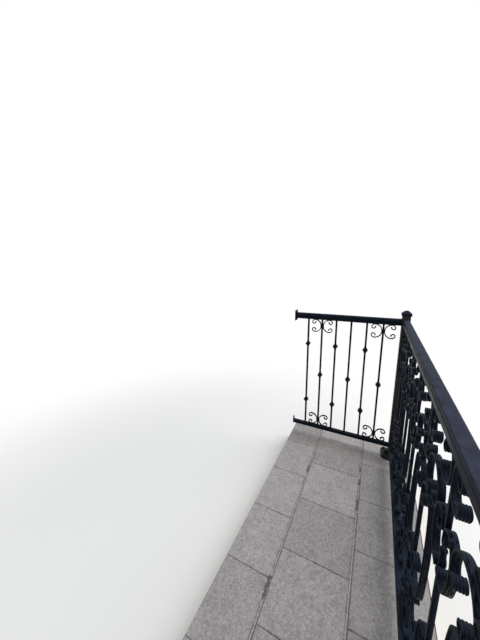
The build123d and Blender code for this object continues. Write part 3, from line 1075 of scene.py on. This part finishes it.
@dataclass
class Rails:
    """The moulded cap rails, the channels under them and the bottom rails, in front and at both ends.

    A bottom rail is its width, underside and top. A hollow is how far it is set in and how deep it goes.
    """

    cap_width: float = 0.042
    cap_height: float = 0.020
    cap_lip: float = 0.007
    cap_slope: float = 0.0015
    cap_step: float = 0.002
    cap_round: float = 0.0048
    lip_round: float = 0.0012
    cap_hollow: Pair = (0.0035, 0.005)
    channel_width: float = 0.034
    channel_height: float = 0.031
    channel_round: float = 0.0022
    channel_hollow: Pair = (0.003, 0.010)
    front_bottom: Triple = (0.046, 0.162, FRONT_BOTTOM_TOP)
    end_bottom: Triple = (0.028, END_BOTTOM_LOW, END_BOTTOM_TOP)
    bottom_round: float = 0.0026
    flange: float = 0.006

    def build(self, finishes: Finishes) -> None:
        """Model the rails and set them in place.

        Args:
            finishes: the balcony's finishes.
        """
        front = Matrix.Translation((0.0, -GUARD_DEPTH, 0.0))
        self._set("front", "", 2 * POST_FACE, front, self.front_bottom, finishes)
        for side in Side:
            spot = Matrix.Translation((side.value * POST_X, -(END_RUN + self.flange) / 2, 0.0))
            self._set("end", f"_{side.label}", END_RUN - self.flange, spot @ Matrix.Rotation(math.pi / 2, 4, "Z"),
                      self.end_bottom, finishes)

    def _set(self, place: str, tail: str, length: float, shift: Matrix, bottom: Triple, finishes: Finishes) -> None:
        """Model one run of the three rails along X and move it into place.

        Args:
            place: front or end.
            tail: what ends the run's names.
            length: of the run.
            shift: from the origin into place.
            bottom: its bottom rail.
            finishes: the balcony's finishes.
        """
        for piece, word, material in ((self._cap(length / 2), "handrail", finishes.rail_iron),
                                      (self._channel(length / 2), "channel", finishes.iron),
                                      (self._bottom(length / 2, *bottom), "bottom_rail", finishes.iron)):
            piece.data.transform(shift)
            hang(piece, f"{word}_of_{place}{tail}", material, f"{place}_{word}{tail}")

    def _cap(self, half: float) -> Object:
        """Model the moulded cap rail along X, with a lip, a step and a rounded top.

        Args:
            half: half its length.

        Returns:
            The rail.
        """
        width, low = self.cap_width / 2, RAIL_TOP - self.cap_height
        lip = low + self.cap_lip
        bench = Bench().cube("cap", (-half, -width, low), (half, width, RAIL_TOP))
        bench.slice((0.0, 0.0, lip), UP).slice((0.0, 0.0, lip + self.cap_slope), UP)
        bench.pick(Pick.VERT, lambda place: place.z > lip + self.cap_slope / 2)
        bench.resize((1.0, (width - self.cap_step) / width, 1.0), (0.0, 0.0, low))
        bench.pick_along(0, at(2, RAIL_TOP)).bevel(self.cap_round, 5)
        bench.pick_along(0, lambda place: place.z < lip + NEAR and abs(place.y) > width - NEAR).bevel(self.lip_round)
        bench.pick_facing(DOWN).inset(self.cap_hollow[0]).pull((0.0, 0.0, self.cap_hollow[1]))
        return bench.close()

    def _channel(self, half: float) -> Object:
        """Model the channel under a cap rail along X, with rolled lower corners.

        Args:
            half: half its length.

        Returns:
            The channel.
        """
        width, top = self.channel_width / 2, CHANNEL_UNDERSIDE + self.channel_height
        bench = Bench().cube("channel", (-half, -width, CHANNEL_UNDERSIDE), (half, width, top))
        bench.pick_along(0, at(2, CHANNEL_UNDERSIDE)).bevel(self.channel_round, 3)
        bench.pick_facing(UP).inset(self.channel_hollow[0]).pull((0.0, 0.0, -self.channel_hollow[1]))
        return bench.close()

    def _bottom(self, half: float, width: float, low: float, high: float) -> Object:
        """Model a bottom rail along X, a tube with rounded corners."""
        bench = Bench().cube("bottom", (-half, -width / 2, low), (half, width / 2, high))
        return bench.pick_along(0).bevel(self.bottom_round, 3).close()


@dataclass
class Post:
    """One corner post with its cap, weld, foot plate, lug and anchor bolts.

    The cap's tip is how far it is set in and how far it sinks. The lug is its length, height and thickness, and the
    weld its reach and height. Each part of a bolt is its radius, its underside and top over the plate, its number of
    sides, and how far its upper edge is rounded. A nut's turn is a share for its place along the wall and one across.
    """

    side: Side
    size: float = 0.050
    corner: float = 0.0032
    foot_top: float = 0.098
    cap_underside: float = 1.184
    cap_size: float = 0.060
    cap_lip: float = 0.014
    cap_rise: float = 0.019
    cap_point: float = 0.2966
    cap_tip: Pair = (0.004, 0.0002)
    cap_round: float = 0.0014
    cap_smooth: float = 30.0
    foot_size: float = 0.140
    foot_corner: float = 0.028
    foot_round: float = 0.0012
    lug: Triple = (0.026, 0.028, 0.010)
    lug_seat: float = 0.001
    lug_corner: float = 0.019
    lug_round: float = 0.001
    weld: Pair = (0.0045, 0.0055)
    weld_steps: int = 16
    weld_waves: float = 4.0
    weld_slope: float = 0.86
    weld_bead: float = 1.035
    weld_smooth: float = 60.0
    bolt_pitch: float = 0.100
    bolt: tuple = (("washer", 0.0125, 0.0, 0.0020, 24, 0.0005), ("nut", 0.0098, 0.0020, 0.0100, 6, 0.0011),
                   ("stud", 0.0050, 0.0080, 0.0150, 16, 0.0009))
    nut_chamfer: float = 0.0012
    nut_turns: Pair = (0.4, 0.2)

    def build(self, finishes: Finishes) -> None:
        """Model the post's pieces.

        Args:
            finishes: the balcony's finishes.
        """
        x, y, tail = self.side.value * POST_X, -GUARD_DEPTH, self.side.label
        bench = Bench().block("tube", x, y, self.size, self.foot_top, self.cap_underside)
        tube = bench.pick_along(2).bevel(self.corner, 4).close()
        hang(tube, f"post_{tail}", finishes.post_iron, f"corner_post_{tail}")
        hang(self._cap(x, y), f"cap_of_post_{tail}", finishes.rail_iron, f"post_cap_{tail}")
        hang(self._foot(x, y), f"foot_of_post_{tail}", finishes.post_iron, f"post_foot_{tail}")
        hang(self._weld(x, y), f"weld_of_post_{tail}", finishes.bolt_iron)
        reach = self.bolt_pitch / 2
        bolts = [self._bolt(x + across * reach, y + out * reach, across * self.nut_turns[0] + out * self.nut_turns[1])
                 for across in (-1, 1) for out in (-1, 1)]
        hang(join(bolts, "bolts"), f"bolts_of_post_{tail}", finishes.bolt_iron)

    def _cap(self, x: float, y: float) -> Object:
        """Model the cap, a square lip under a low pyramid with a blunt point.

        Args:
            x: the post's place along the wall.
            y: its place across.

        Returns:
            The cap.
        """
        low = self.cap_underside
        bench = Bench().block("cap", x, y, self.cap_size, low, low + self.cap_lip)
        bench.pick_facing(UP).pull((0.0, 0.0, self.cap_rise))
        bench.resize((self.cap_point, self.cap_point, 1.0), (x, y, low))
        bench.pick_facing(UP).inset(self.cap_tip[0]).move((0.0, 0.0, -self.cap_tip[1]))
        bench.pick(Pick.EDGE, on_outline(x, y, self.cap_size / 2)).bevel(self.cap_round)
        return bench.close(self.cap_smooth)

    def _foot(self, x: float, y: float) -> Object:
        """Model the foot plate with its lug on the wall side.

        Args:
            x: the post's place along the wall.
            y: its place across.

        Returns:
            The foot.
        """
        top = self.foot_top
        bench = Bench().block("foot", x, y, self.foot_size, FLOOR, top)
        bench.pick_along(2).bevel(self.foot_corner, 6)
        plate = bench.pick(Pick.EDGE, at(2, top)).bevel(self.foot_round).close()
        length, height, thick = self.lug
        start, end, high = y + self.size / 2 - self.lug_seat, y + self.size / 2 + length, top + height
        bench = Bench().cube("lug", (x - thick / 2, start, top), (x + thick / 2, end, high))
        bench.pick(Pick.EDGE, lambda place: place.z > high - NEAR and place.y > end - NEAR).bevel(self.lug_corner, 7)
        bench.pick(Pick.EDGE, lambda place: abs(place.x - x) > thick / 2 - NEAR).bevel(self.lug_round)
        return join([plate, bench.close()], "foot")

    def _weld(self, x: float, y: float) -> Object:
        """Model the weld round the post's base, a sloping fillet with a beaded face.

        Args:
            x: the post's place along the wall.
            y: its place across.

        Returns:
            The weld.
        """
        half, low = self.size / 2 + self.weld[0], self.foot_top
        bench = Bench().block("weld", x, y, 2 * half, low, low + self.weld[1])
        for k in range(1, self.weld_steps):
            step = -half + 2 * half * k / self.weld_steps
            bench.slice((x + step, y, low), (1.0, 0.0, 0.0)).slice((x, y + step, low), (0.0, 1.0, 0.0))
        bench.pick(Pick.VERT, at(2, low + self.weld[1]))
        bench.resize((self.weld_slope, self.weld_slope, 1.0), (x, y, low))
        wave, outside = half / self.weld_waves, on_outline(x, y, half)
        bench.pick(Pick.VERT, lambda place: place.z < low + NEAR and outside(place)
                   and (round((place.x - x) / wave) + round((place.y - y) / wave)) % 2 == 0)
        return bench.resize((self.weld_bead, self.weld_bead, 1.0), (x, y, low)).close(self.weld_smooth)

    def _bolt(self, x: float, y: float, turn: float) -> Object:
        """Model an anchor bolt on the foot plate: a washer, a hexagon nut and a stud end.

        Args:
            x: its place along the wall.
            y: its place across.
            turn: the nut's turn about its axis, in radians.

        Returns:
            The bolt.
        """
        parts = []
        for word, radius, low, high, sides, soft in self.bolt:
            is_nut, top = word == "nut", self.foot_top + high
            bench = Bench().cylinder(word, (x, y, self.foot_top + (low + high) / 2), (radius, high - low), sides,
                                     (0.0, 0.0, turn if is_nut else 0.0))
            bench.pick(Pick.EDGE, at(2, top)).bevel(soft)
            if is_nut:
                bench.pick_facing(UP).inset(self.nut_chamfer)
            parts.append(bench.close())
        return join(parts, "bolt")


@dataclass
class FrontPanel:
    """The front panel: square bars with C scrolls at top and bottom, and the field of rolled scrolls between them.

    It repeats every two bays. The scrolls on one side of a bar line, above the middle, are modelled once and copied.
    """

    bar_size: float = 0.0127
    bar_round: float = 0.0012
    cut_round: float = 0.0004
    weld: float = 0.0008
    seat_gap: float = 0.0002
    crown_bar_length: float = 0.197
    short_bar_length: float = 0.232
    short_bar_gap: float = 0.035
    bead: float = 0.0090
    bead_seam: float = 1.03
    bead_pole: float = 0.94
    bead_cap: float = 0.93
    bead_smooth: float = 60.0
    flat: float = 0.008
    c_flat: float = 0.023
    cradle_flat: float = 0.014
    crook_drop: float = 0.207
    crook_tuck: float = 0.011
    hook_drop: float = 0.247
    c_arcs: tuple = (Arc(0.043, 90), Arc(0.030, 20), Arc(0.030, 60, True), Arc(0.012, 170, True))
    cradle_arcs: tuple = arcs_of((0.090, 16), (0.034, 74), (0.022, 90), (0.012, 190))
    crook_fall: tuple = arcs_of((0.075, 25), (0.032, 65), (0.023, 90), (0.014, 90), (0.010, 130))
    crook_curl: tuple = arcs_of((0.028, 90), (0.017, 90), (0.011, 150))
    hook_crown: tuple = arcs_of((0.110, 20), (0.036, 70), (0.030, 90), (0.015, 90), (0.010, 130))
    hook_fall_start: Arc = Arc(0.150, 25)
    hook_fall_curl: tuple = arcs_of((0.020, 90), (0.012, 90), (0.009, 120))
    heart_lean: float = 10.0
    heart_shoulder_radius: float = 0.060
    heart_side: Arc = Arc(0.048, 50)
    heart_curl: tuple = (Arc(0.030, 90), Arc(0.026, 90, True), Arc(0.014, 90, True), Arc(0.010, 120, True))
    last_line: int = 4
    strip: FlatBar = FlatBar(thickness=0.006, depth=0.019, corner=0.001, cuts=7, rib=0.0014, fan=0.0255)

    def build(self, finishes: Finishes) -> None:
        """Model the panel.

        Args:
            finishes: the balcony's finishes.
        """
        self._seats()
        self._bars(finishes)
        self._field(finishes)
        self._middle_bars(finishes)

    @property
    def lines(self) -> range:
        """The bar lines from post to post."""
        return range(-self.last_line, self.last_line + 1)

    def _seats(self) -> None:
        """Work out where the scrolls seat on one another."""
        half = self.strip.thickness / 2
        self.crown_level = CHANNEL_UNDERSIDE - self.crown_bar_length
        self.short_level = CHANNEL_UNDERSIDE - self.short_bar_length
        self.c_level = CHANNEL_UNDERSIDE - self.c_flat / 2 - self.c_arcs[0].radius - half + BITE
        self.c_back = self.bar_size / 2 + half - self.weld
        self.cradle_level = self.crown_level - half
        reach = Heading(self.cradle_flat / 2, 0.0, 0.0).after(self.cradle_arcs[:2], 1)
        crook_gap, crook_level = reach.x - self.crook_tuck, CHANNEL_UNDERSIDE - self.crook_drop
        self.crook = Heading(crook_gap, crook_level, 90.0)

        hook_level = CHANNEL_UNDERSIDE - self.hook_drop
        hook_start = Heading(0.0, hook_level + self.flat / 2, 90.0)
        hook_back = self.bar_size / 2 + self.seat_gap + hook_start.after(self.hook_crown[:3], -1).x + half
        self.hook = Heading(-hook_back, hook_level, 90.0)
        shoulder = hook_start.after(self.hook_crown[:1], -1)
        across = BAY - hook_back + shoulder.x - self.strip.thickness + self.weld - crook_gap
        rise = shoulder.z - crook_level - self.flat / 2
        self.crook_crown = (Arc((across + rise) / 2, 90), Arc((across - rise) / 2, 90)) + self.crook_curl

        fall = Heading(0.0, 0.0, -90.0).after([self.hook_fall_start], 1)
        width = hook_back - self.bar_size / 2 - half + self.weld - fall.x - self.hook_fall_curl[0].radius
        belly = Arc(width / math.cos(math.radians(self.hook_fall_start.sweep)), 90 - self.hook_fall_start.sweep)
        self.hook_fall = (self.hook_fall_start, belly) + self.hook_fall_curl

        foot = Heading(crook_gap, crook_level - self.flat / 2, -90.0).after(self.crook_fall[:2], 1)
        heart_top = foot.z - self.strip.thickness + self.weld
        inner = self.bead + half - self.weld
        crest_sweep = 90 - self.heart_side.sweep
        crest_sine = math.sin(math.radians(crest_sweep))
        crest_radius = (foot.x - inner - self.heart_side.radius * (1 - crest_sine)) / crest_sine
        shoulder_arc = Arc(self.heart_shoulder_radius, 90 - self.heart_lean)
        lifted = Heading(0.0, 0.0, 90 + self.heart_lean).after([shoulder_arc], 1)
        back_radius = (heart_top - lifted.z - MIDDLE) / math.sin(math.radians(self.heart_lean))
        upper = (Arc(back_radius, self.heart_lean), shoulder_arc, Arc(crest_radius, crest_sweep), self.heart_side)
        side = Heading(0.0, MIDDLE, 90.0).after(upper, 1)
        self.heart = Heading(inner - side.x, MIDDLE, 90.0)
        self.heart_arcs = upper + self.heart_curl
        self.bead_levels = (side.z, self.short_level - self.short_bar_gap)

    def _sides(self, line: int) -> tuple[int, ...]:
        """Return the sides of a line that lie between the posts."""
        return (-1, 1) if abs(line) < self.last_line else (-1,) if line > 0 else (1,)

    def _bar(self, low: float, high: float, cut: bool) -> Object:
        """Model an upright square bar with soft edges at line 0.

        Args:
            low: its lower end.
            high: its upper end.
            cut: whether its lower end is sawn off.

        Returns:
            The bar.
        """
        bench = Bench().block("bar", 0.0, 0.0, self.bar_size, low, high).pick_along(2).bevel(self.bar_round)
        if cut:
            bench.pick(Pick.EDGE, at(2, low)).bevel(self.cut_round, 1)
        return bench.close()

    def _bars(self, finishes: Finishes) -> None:
        """Hang the bars with their C scrolls from the handrail, and stand the same on the bottom rail.

        Args:
            finishes: the balcony's finishes.
        """
        bars = (self._bar(self.crown_level, CHANNEL_UNDERSIDE, False),
                self._bar(self.short_level, CHANNEL_UNDERSIDE, True))
        back = Heading(self.c_back, self.c_level, 90.0)
        scroll = self.strip.roll("c", back, self.c_flat, self.c_arcs, self.c_arcs, -1)
        at_post = place_copy(scroll, Matrix.Translation((self.strip.thickness / 2 - self.c_back, 0, 0)))
        for word, turn in (("upper", Matrix.Identity(4)), ("lower", flip_over())):
            parts = []
            for line in self.lines:
                between = abs(line) < self.last_line
                if between:
                    parts.append(place_copy(bars[line % 2], at_line(line) @ turn))
                for side in self._sides(line):
                    parts.append(place_copy(scroll if between else at_post, at_line(line, side) @ turn))
            hang(join(parts, "bars"), f"{word}_bars", finishes.iron, f"front_{word}_bars")
        remove(*bars, scroll, at_post)

    def _field(self, finishes: Finishes) -> None:
        """Roll the cradles, crooks, hearts and hooks, and copy them over the panel, both ways up but for the hearts.

        Each kind is what its scroll is rolled from, the lines that have it, and the sides it is on there, or none for
        every side that is open.

        Args:
            finishes: the balcony's finishes.
        """
        seat, last = Heading(0.0, self.cradle_level, 0.0), self.last_line
        crowns, shorts = self.lines[::2], self.lines[1::2]
        for name, *kinds in (
                ("cradles", (seat, self.cradle_flat, self.cradle_arcs, self.cradle_arcs, 1, crowns[1:-1], (1,)),
                            (seat, self.cradle_flat, self.cradle_arcs, (), 1, (-last, last), ())),
                ("crooks", (self.crook, self.flat, self.crook_crown, self.crook_fall, -1, crowns, ())),
                ("hearts", (self.heart, 0.0, self.heart_arcs, self.heart_arcs, 1, crowns, ())),
                ("hooks", (self.hook, self.flat, self.hook_crown, self.hook_fall, -1, shorts, ()))):
            turns = (Matrix.Identity(4),) if name == "hearts" else (Matrix.Identity(4), flip_over())
            copies = []
            for *rolled, lines, sides in kinds:
                model = self.strip.roll(name, *rolled)
                copies += [place_copy(model, at_line(line, side) @ turn)
                           for line in lines for side in sides or self._sides(line) for turn in turns]
                remove(model)
            hang(join(copies, name), name, finishes.iron, "front_scrolls")

    def _middle_bars(self, finishes: Finishes) -> None:
        """Stand the middle bars between the scrolls, with a ball on both ends of each.

        Args:
            finishes: the balcony's finishes.
        """
        ball, parts = self._ball(), []
        for line in self.lines[1:-1]:
            end = self.bead_levels[line % 2]
            bar = self._bar(2 * MIDDLE - end, end, True)
            parts.append(place_copy(bar, at_line(line)))
            remove(bar)
            for level in (end, 2 * MIDDLE - end):
                parts.append(place_copy(ball, at_line(line, level=level)))
        remove(ball)
        hang(join(parts, "middle_bars"), "middle_bars_and_balls", finishes.iron, "front_scrolls")

    def _ball(self) -> Object:
        """Model a forged ball, a little flat at its poles, with a raised seam round it.

        Returns:
            The ball.
        """
        bench = Bench().start("ball", bpy.ops.mesh.primitive_uv_sphere_add, segments=20, ring_count=12,
                              radius=self.bead, location=(0.0, 0.0, 0.0))
        seam, pole, centre = self.bead_seam, self.bead_pole, (0.0, 0.0, 0.0)
        bench.pick(Pick.VERT, at(2, 0.0)).resize((seam, seam, 1.0), centre)
        bench.pick(Pick.VERT, lambda place: abs(place.z) > self.bead * self.bead_cap).resize((1.0, 1.0, pole), centre)
        return bench.close(self.bead_smooth)


@dataclass
class EndPanel:
    """One end panel: square bars with knuckles, C scrolls back to back on two of them, and the wall fixings.

    A knuckle is a row of heights from its middle, each with its reach from the bar's line. The flange is its width,
    height and thickness, the tab its width and thickness, a screw's head its radius and height, and its socket the
    width of the rim and the depth.
    """

    side: Side
    bar_count: int = 6
    bar_size: float = 0.013
    bar_round: float = 0.0009
    bar_smooth: float = 32.0
    stub: float = 0.002
    scrolled: tuple = (2, 6)
    knuckle_levels: tuple = ((0.558,), (0.317, 0.815))
    knuckle: tuple = ((-0.022, 0.0066), (-0.0195, 0.0085), (-0.0165, 0.0087), (-0.008, 0.0122), (-0.0022, 0.0178),
                      (0.0022, 0.0178), (0.008, 0.0122), (0.0165, 0.0087), (0.0195, 0.0085), (0.022, 0.0066))
    knuckle_end: float = 0.0005
    scroll_flat: float = 0.008
    scroll_arcs: tuple = (Arc(0.045, 90), Arc(0.021, 80), Arc(0.012, 165))
    strip: FlatBar = FlatBar(thickness=0.0066, depth=0.013, corner=0.0013,
                             bulb=((0.35, 1.32), (0.55, 1.12), (0.45, 0.72)))
    flange: Triple = (0.064, 0.084, 0.006)
    flange_corner: float = 0.007
    flange_inset: float = 0.003
    flange_round: float = 0.0010
    screw_reach: float = 0.032
    tab: Pair = (0.028, 0.006)
    tab_height: float = 0.030
    tab_corner: float = 0.010
    tab_round: float = 0.0009
    screw: Pair = (0.0072, 0.0030)
    screw_round: float = 0.0017
    socket: Pair = (0.0018, 0.0012)

    def build(self, finishes: Finishes) -> None:
        """Model the end panel.

        Args:
            finishes: the balcony's finishes.
        """
        pitch, tail, x = END_RUN / (self.bar_count + 1), self.side.label, self.side.value * POST_X
        bars = [self._bar(x, -number * pitch, self.knuckle_levels[number % 2])
                for number in range(1, self.bar_count + 1)]
        hang(join(bars, "bars"), f"bars_of_end_{tail}", finishes.bar_iron, f"end_bars_{tail}")

        reach = self.bar_size / 2 + self.strip.thickness / 2 - BITE
        rise = self.scroll_flat / 2 + self.scroll_arcs[0].radius + self.strip.thickness / 2 - BITE
        back = Heading(reach, 0.0, 90.0)
        scroll = self.strip.roll("c", back, self.scroll_flat, self.scroll_arcs, self.scroll_arcs, -1)
        turned = Matrix.Rotation(-math.pi / 2, 4, "Z")
        for word, level in (("upper", CHANNEL_UNDERSIDE - rise), ("lower", END_BOTTOM_TOP + rise)):
            copies = [place_copy(scroll, Matrix.Translation((x, -number * pitch, level)) @ turned
                                 @ Matrix.Diagonal((way, 1, 1, 1))) for number in self.scrolled for way in (-1, 1)]
            hang(join(copies, "scrolls"), f"{word}_scrolls_of_end_{tail}", finishes.bar_iron,
                 f"end_{word}_scrolls_{tail}")
        remove(scroll)
        hang(self._flange(x), f"flange_of_end_{tail}", finishes.rail_iron, f"wall_flange_{tail}")
        hang(self._tab(x), f"tab_of_end_{tail}", finishes.iron, f"wall_tab_{tail}")

    def _bar(self, x: float, y: float, levels: Sequence[float]) -> Object:
        """Model a square bar drawn upwards from the bottom rail, with a forged knuckle at each level.

        Args:
            x: the bar's place along the wall.
            y: its place across.
            levels: the knuckles' heights above the tiles.

        Returns:
            The bar.
        """
        half, height = self.bar_size / 2, END_BOTTOM_TOP + self.stub
        bench = Bench().block("bar", x, y, self.bar_size, END_BOTTOM_TOP, height).pick_facing(UP)
        width = half
        for level in levels:
            for rise, reach in self.knuckle:
                step = FLOOR + level + rise - height
                bench.pull((0.0, 0.0, step)).resize((reach / width, reach / width, 1.0), (x, y, height + step))
                height, width = height + step, reach
            bench.pull((0.0, 0.0, self.knuckle_end)).resize((half / width, half / width, 1.0), (x, y, height))
            height, width = height + self.knuckle_end, half
        bench.pull((0.0, 0.0, CHANNEL_UNDERSIDE - height))
        bench.pick_along(2).bevel(self.bar_round)
        return bench.close(self.bar_smooth)

    def _flange(self, x: float) -> Object:
        """Model the wall flange of the top rail, with two dome-headed screws.

        Args:
            x: its place along the wall.

        Returns:
            The flange.
        """
        width, height, thick = self.flange
        middle = (CHANNEL_UNDERSIDE + RAIL_TOP) / 2
        low, high = (x - width / 2, -thick, middle - height / 2), (x + width / 2, 0.0, middle + height / 2)
        bench = Bench().cube("flange", low, high)
        bench.pick_along(1).bevel(self.flange_corner, 4)
        bench.pick_facing(STREET).inset(self.flange_inset)
        plate = bench.pick(Pick.EDGE, at(1, -thick)).bevel(self.flange_round).close()
        screws = [self._screw(x, middle + way * self.screw_reach, -thick) for way in (-1, 1)]
        return join([plate, *screws], "flange")

    def _tab(self, x: float) -> Object:
        """Model the tab that stands up at the wall end of the bottom rail, with its screw.

        Args:
            x: its place along the wall.

        Returns:
            The tab.
        """
        (width, thick), high = self.tab, END_BOTTOM_TOP + self.tab_height
        bench = Bench().cube("tab", (x - width / 2, -thick, END_BOTTOM_LOW), (x + width / 2, 0.0, high))
        bench.pick_along(1, at(2, high)).bevel(self.tab_corner, 5)
        bench.pick(Pick.EDGE, at(1, -thick)).bevel(self.tab_round)
        return join([bench.close(), self._screw(x, high - self.tab_height / 2, -thick)], "tab")

    def _screw(self, x: float, z: float, face: float) -> Object:
        """Model a domed screw head with a round socket, on a face that looks away from the wall.

        Args:
            x: its place along the wall.
            z: its height.
            face: where the face lies.

        Returns:
            The screw.
        """
        top, (inset, depth) = face - self.screw[1], self.socket
        bench = Bench().cylinder("screw", (x, (face + top) / 2, z), self.screw, 20, (math.pi / 2, 0.0, 0.0))
        bench.pick(Pick.EDGE, at(1, top)).bevel(self.screw_round, 3)
        bench.pick_facing(STREET, at(1, top)).inset(inset).pull((0.0, depth, 0.0))
        return bench.close()


# Studio


@dataclass(frozen=True)
class Studio:
    """The pale floor, the soft light and the camera at the photograph's viewing angle.

    A lamp is its name, its place, the size of its square face, its power in watts and its colour. The floor's shadows
    fade out between the two distances in fade. The camera sees from the near to the far distance in clip.
    """

    floor_level: float = -0.072
    eye: Triple = (-0.945, -0.5729, 1.5302)
    right: Triple = (0.46644633, -0.88436403, -0.0181132)
    up: Triple = (0.18639372, 0.0782522, 0.97935386)
    forward: Triple = (0.86468792, 0.4601922, -0.20134035)
    lens: float = 14.517
    sensor: float = 36.0
    clip: Pair = (0.01, 100.0)
    sky: float = 0.62
    sky_colour: Colour = (0.97, 0.985, 1.0)
    floor_size: float = 60.0
    floor_colour: Colour = (0.93, 0.93, 0.93)
    floor_roughness: float = 0.9
    fade: Pair = (1.2, 3.2)
    lamps: tuple = (("key", (2.6, -3.4, 4.6), 3.2, 150.0, (1.0, 0.985, 0.96)),
                    ("fill", (-3.6, -2.6, 3.4), 3.0, 60.0, (0.95, 0.975, 1.0)))
    aim: Triple = (0.0, -0.4, 0.5)

    def build(self) -> None:
        """Set up the world, the floor, the lamps and the camera."""
        scene = bpy.context.scene
        scene.view_settings.view_transform = "Standard"
        self._world(scene)
        self._floor()
        for name, place, size, power, colour in self.lamps:
            data = bpy.data.lights.new(name, "AREA")
            data.size, data.energy, data.color = size, power, colour
            lamp = bpy.data.objects.new(name, data)
            scene.collection.objects.link(lamp)
            lamp.location = place
            lamp.rotation_euler = (Vector(self.aim) - Vector(place)).to_track_quat("-Z", "Y").to_euler()
        self._camera(scene)

    @staticmethod
    def _seen(wiring: Wiring) -> Socket:
        """Return 1 for what the camera sees, directly, in a reflection or through glass, and 0 for light."""
        path = wiring.add("ShaderNodeLightPath").outputs
        return wiring.reckon("MAXIMUM", path["Is Camera Ray"], path["Is Glossy Ray"], path["Is Transmission Ray"])

    def _world(self, scene: bpy.types.Scene) -> None:
        """Make an even sky that lights softly and shows white behind the object.

        Args:
            scene: the scene that gets it.
        """
        scene.world = bpy.data.worlds.new("studio")
        scene.world.use_nodes = True
        wiring = Wiring(scene.world.node_tree)
        light, shown = (wiring.add("ShaderNodeBackground", {"Color": colour, "Strength": strength}).outputs[0]
                        for colour, strength in ((self.sky_colour, self.sky), (WHOLE, 1.0)))
        mixed = wiring.add("ShaderNodeMixShader", {0: self._seen(wiring), 1: light, 2: shown})
        wiring.add("ShaderNodeOutputWorld", {"Surface": mixed.outputs[0]})

    def _floor(self) -> None:
        """Lay the pale studio floor, which keeps the shadow near the object and runs out into white."""
        bench = Bench().plane("studio_floor", (0.0, 0.0, self.floor_level), (self.floor_size, self.floor_size))
        ground = bench.close()
        material = bpy.data.materials.new("studio_floor_paint")
        material.use_nodes = True
        wiring = Wiring(material.node_tree)
        paint = wiring.add("ShaderNodeBsdfPrincipled",
                           {"Base Color": self.floor_colour, "Roughness": self.floor_roughness})
        away = wiring.add("ShaderNodeVectorMath", {0: wiring.place()}, operation="LENGTH").outputs["Value"]
        share = wiring.times(wiring.spread(away, *self.fade), self._seen(wiring))
        white = wiring.add("ShaderNodeEmission")
        mixed = wiring.add("ShaderNodeMixShader", {0: share, 1: paint.outputs[0], 2: white.outputs[0]})
        wiring.add("ShaderNodeOutputMaterial", {"Surface": mixed.outputs[0]})
        ground.data.materials.append(material)

    def _camera(self, scene: bpy.types.Scene) -> None:
        """Stand the camera inside the guard, looking along it towards the right-hand end.

        Args:
            scene: the scene that gets it.
        """
        data = bpy.data.cameras.new("camera")
        data.sensor_fit, data.sensor_width, data.lens = "AUTO", self.sensor, self.lens
        data.clip_start, data.clip_end = self.clip
        scene.camera = bpy.data.objects.new("camera", data)
        scene.collection.objects.link(scene.camera)
        turn = Matrix((self.right, self.up, -Vector(self.forward))).transposed().to_4x4()
        scene.camera.matrix_world = Matrix.Translation(self.eye) @ turn


def main() -> None:
    """Build the balcony's sub-assemblies in order, then the studio."""
    logging.basicConfig(level=logging.INFO, format="%(name)s: %(message)s")
    Studio().build()
    finishes = Finishes()
    Floor().build(finishes)
    Rails().build(finishes)
    for side in Side:
        Post(side).build(finishes)
    FrontPanel().build(finishes)
    for side in Side:
        EndPanel(side).build(finishes)


if __name__ == "__main__":
    main()
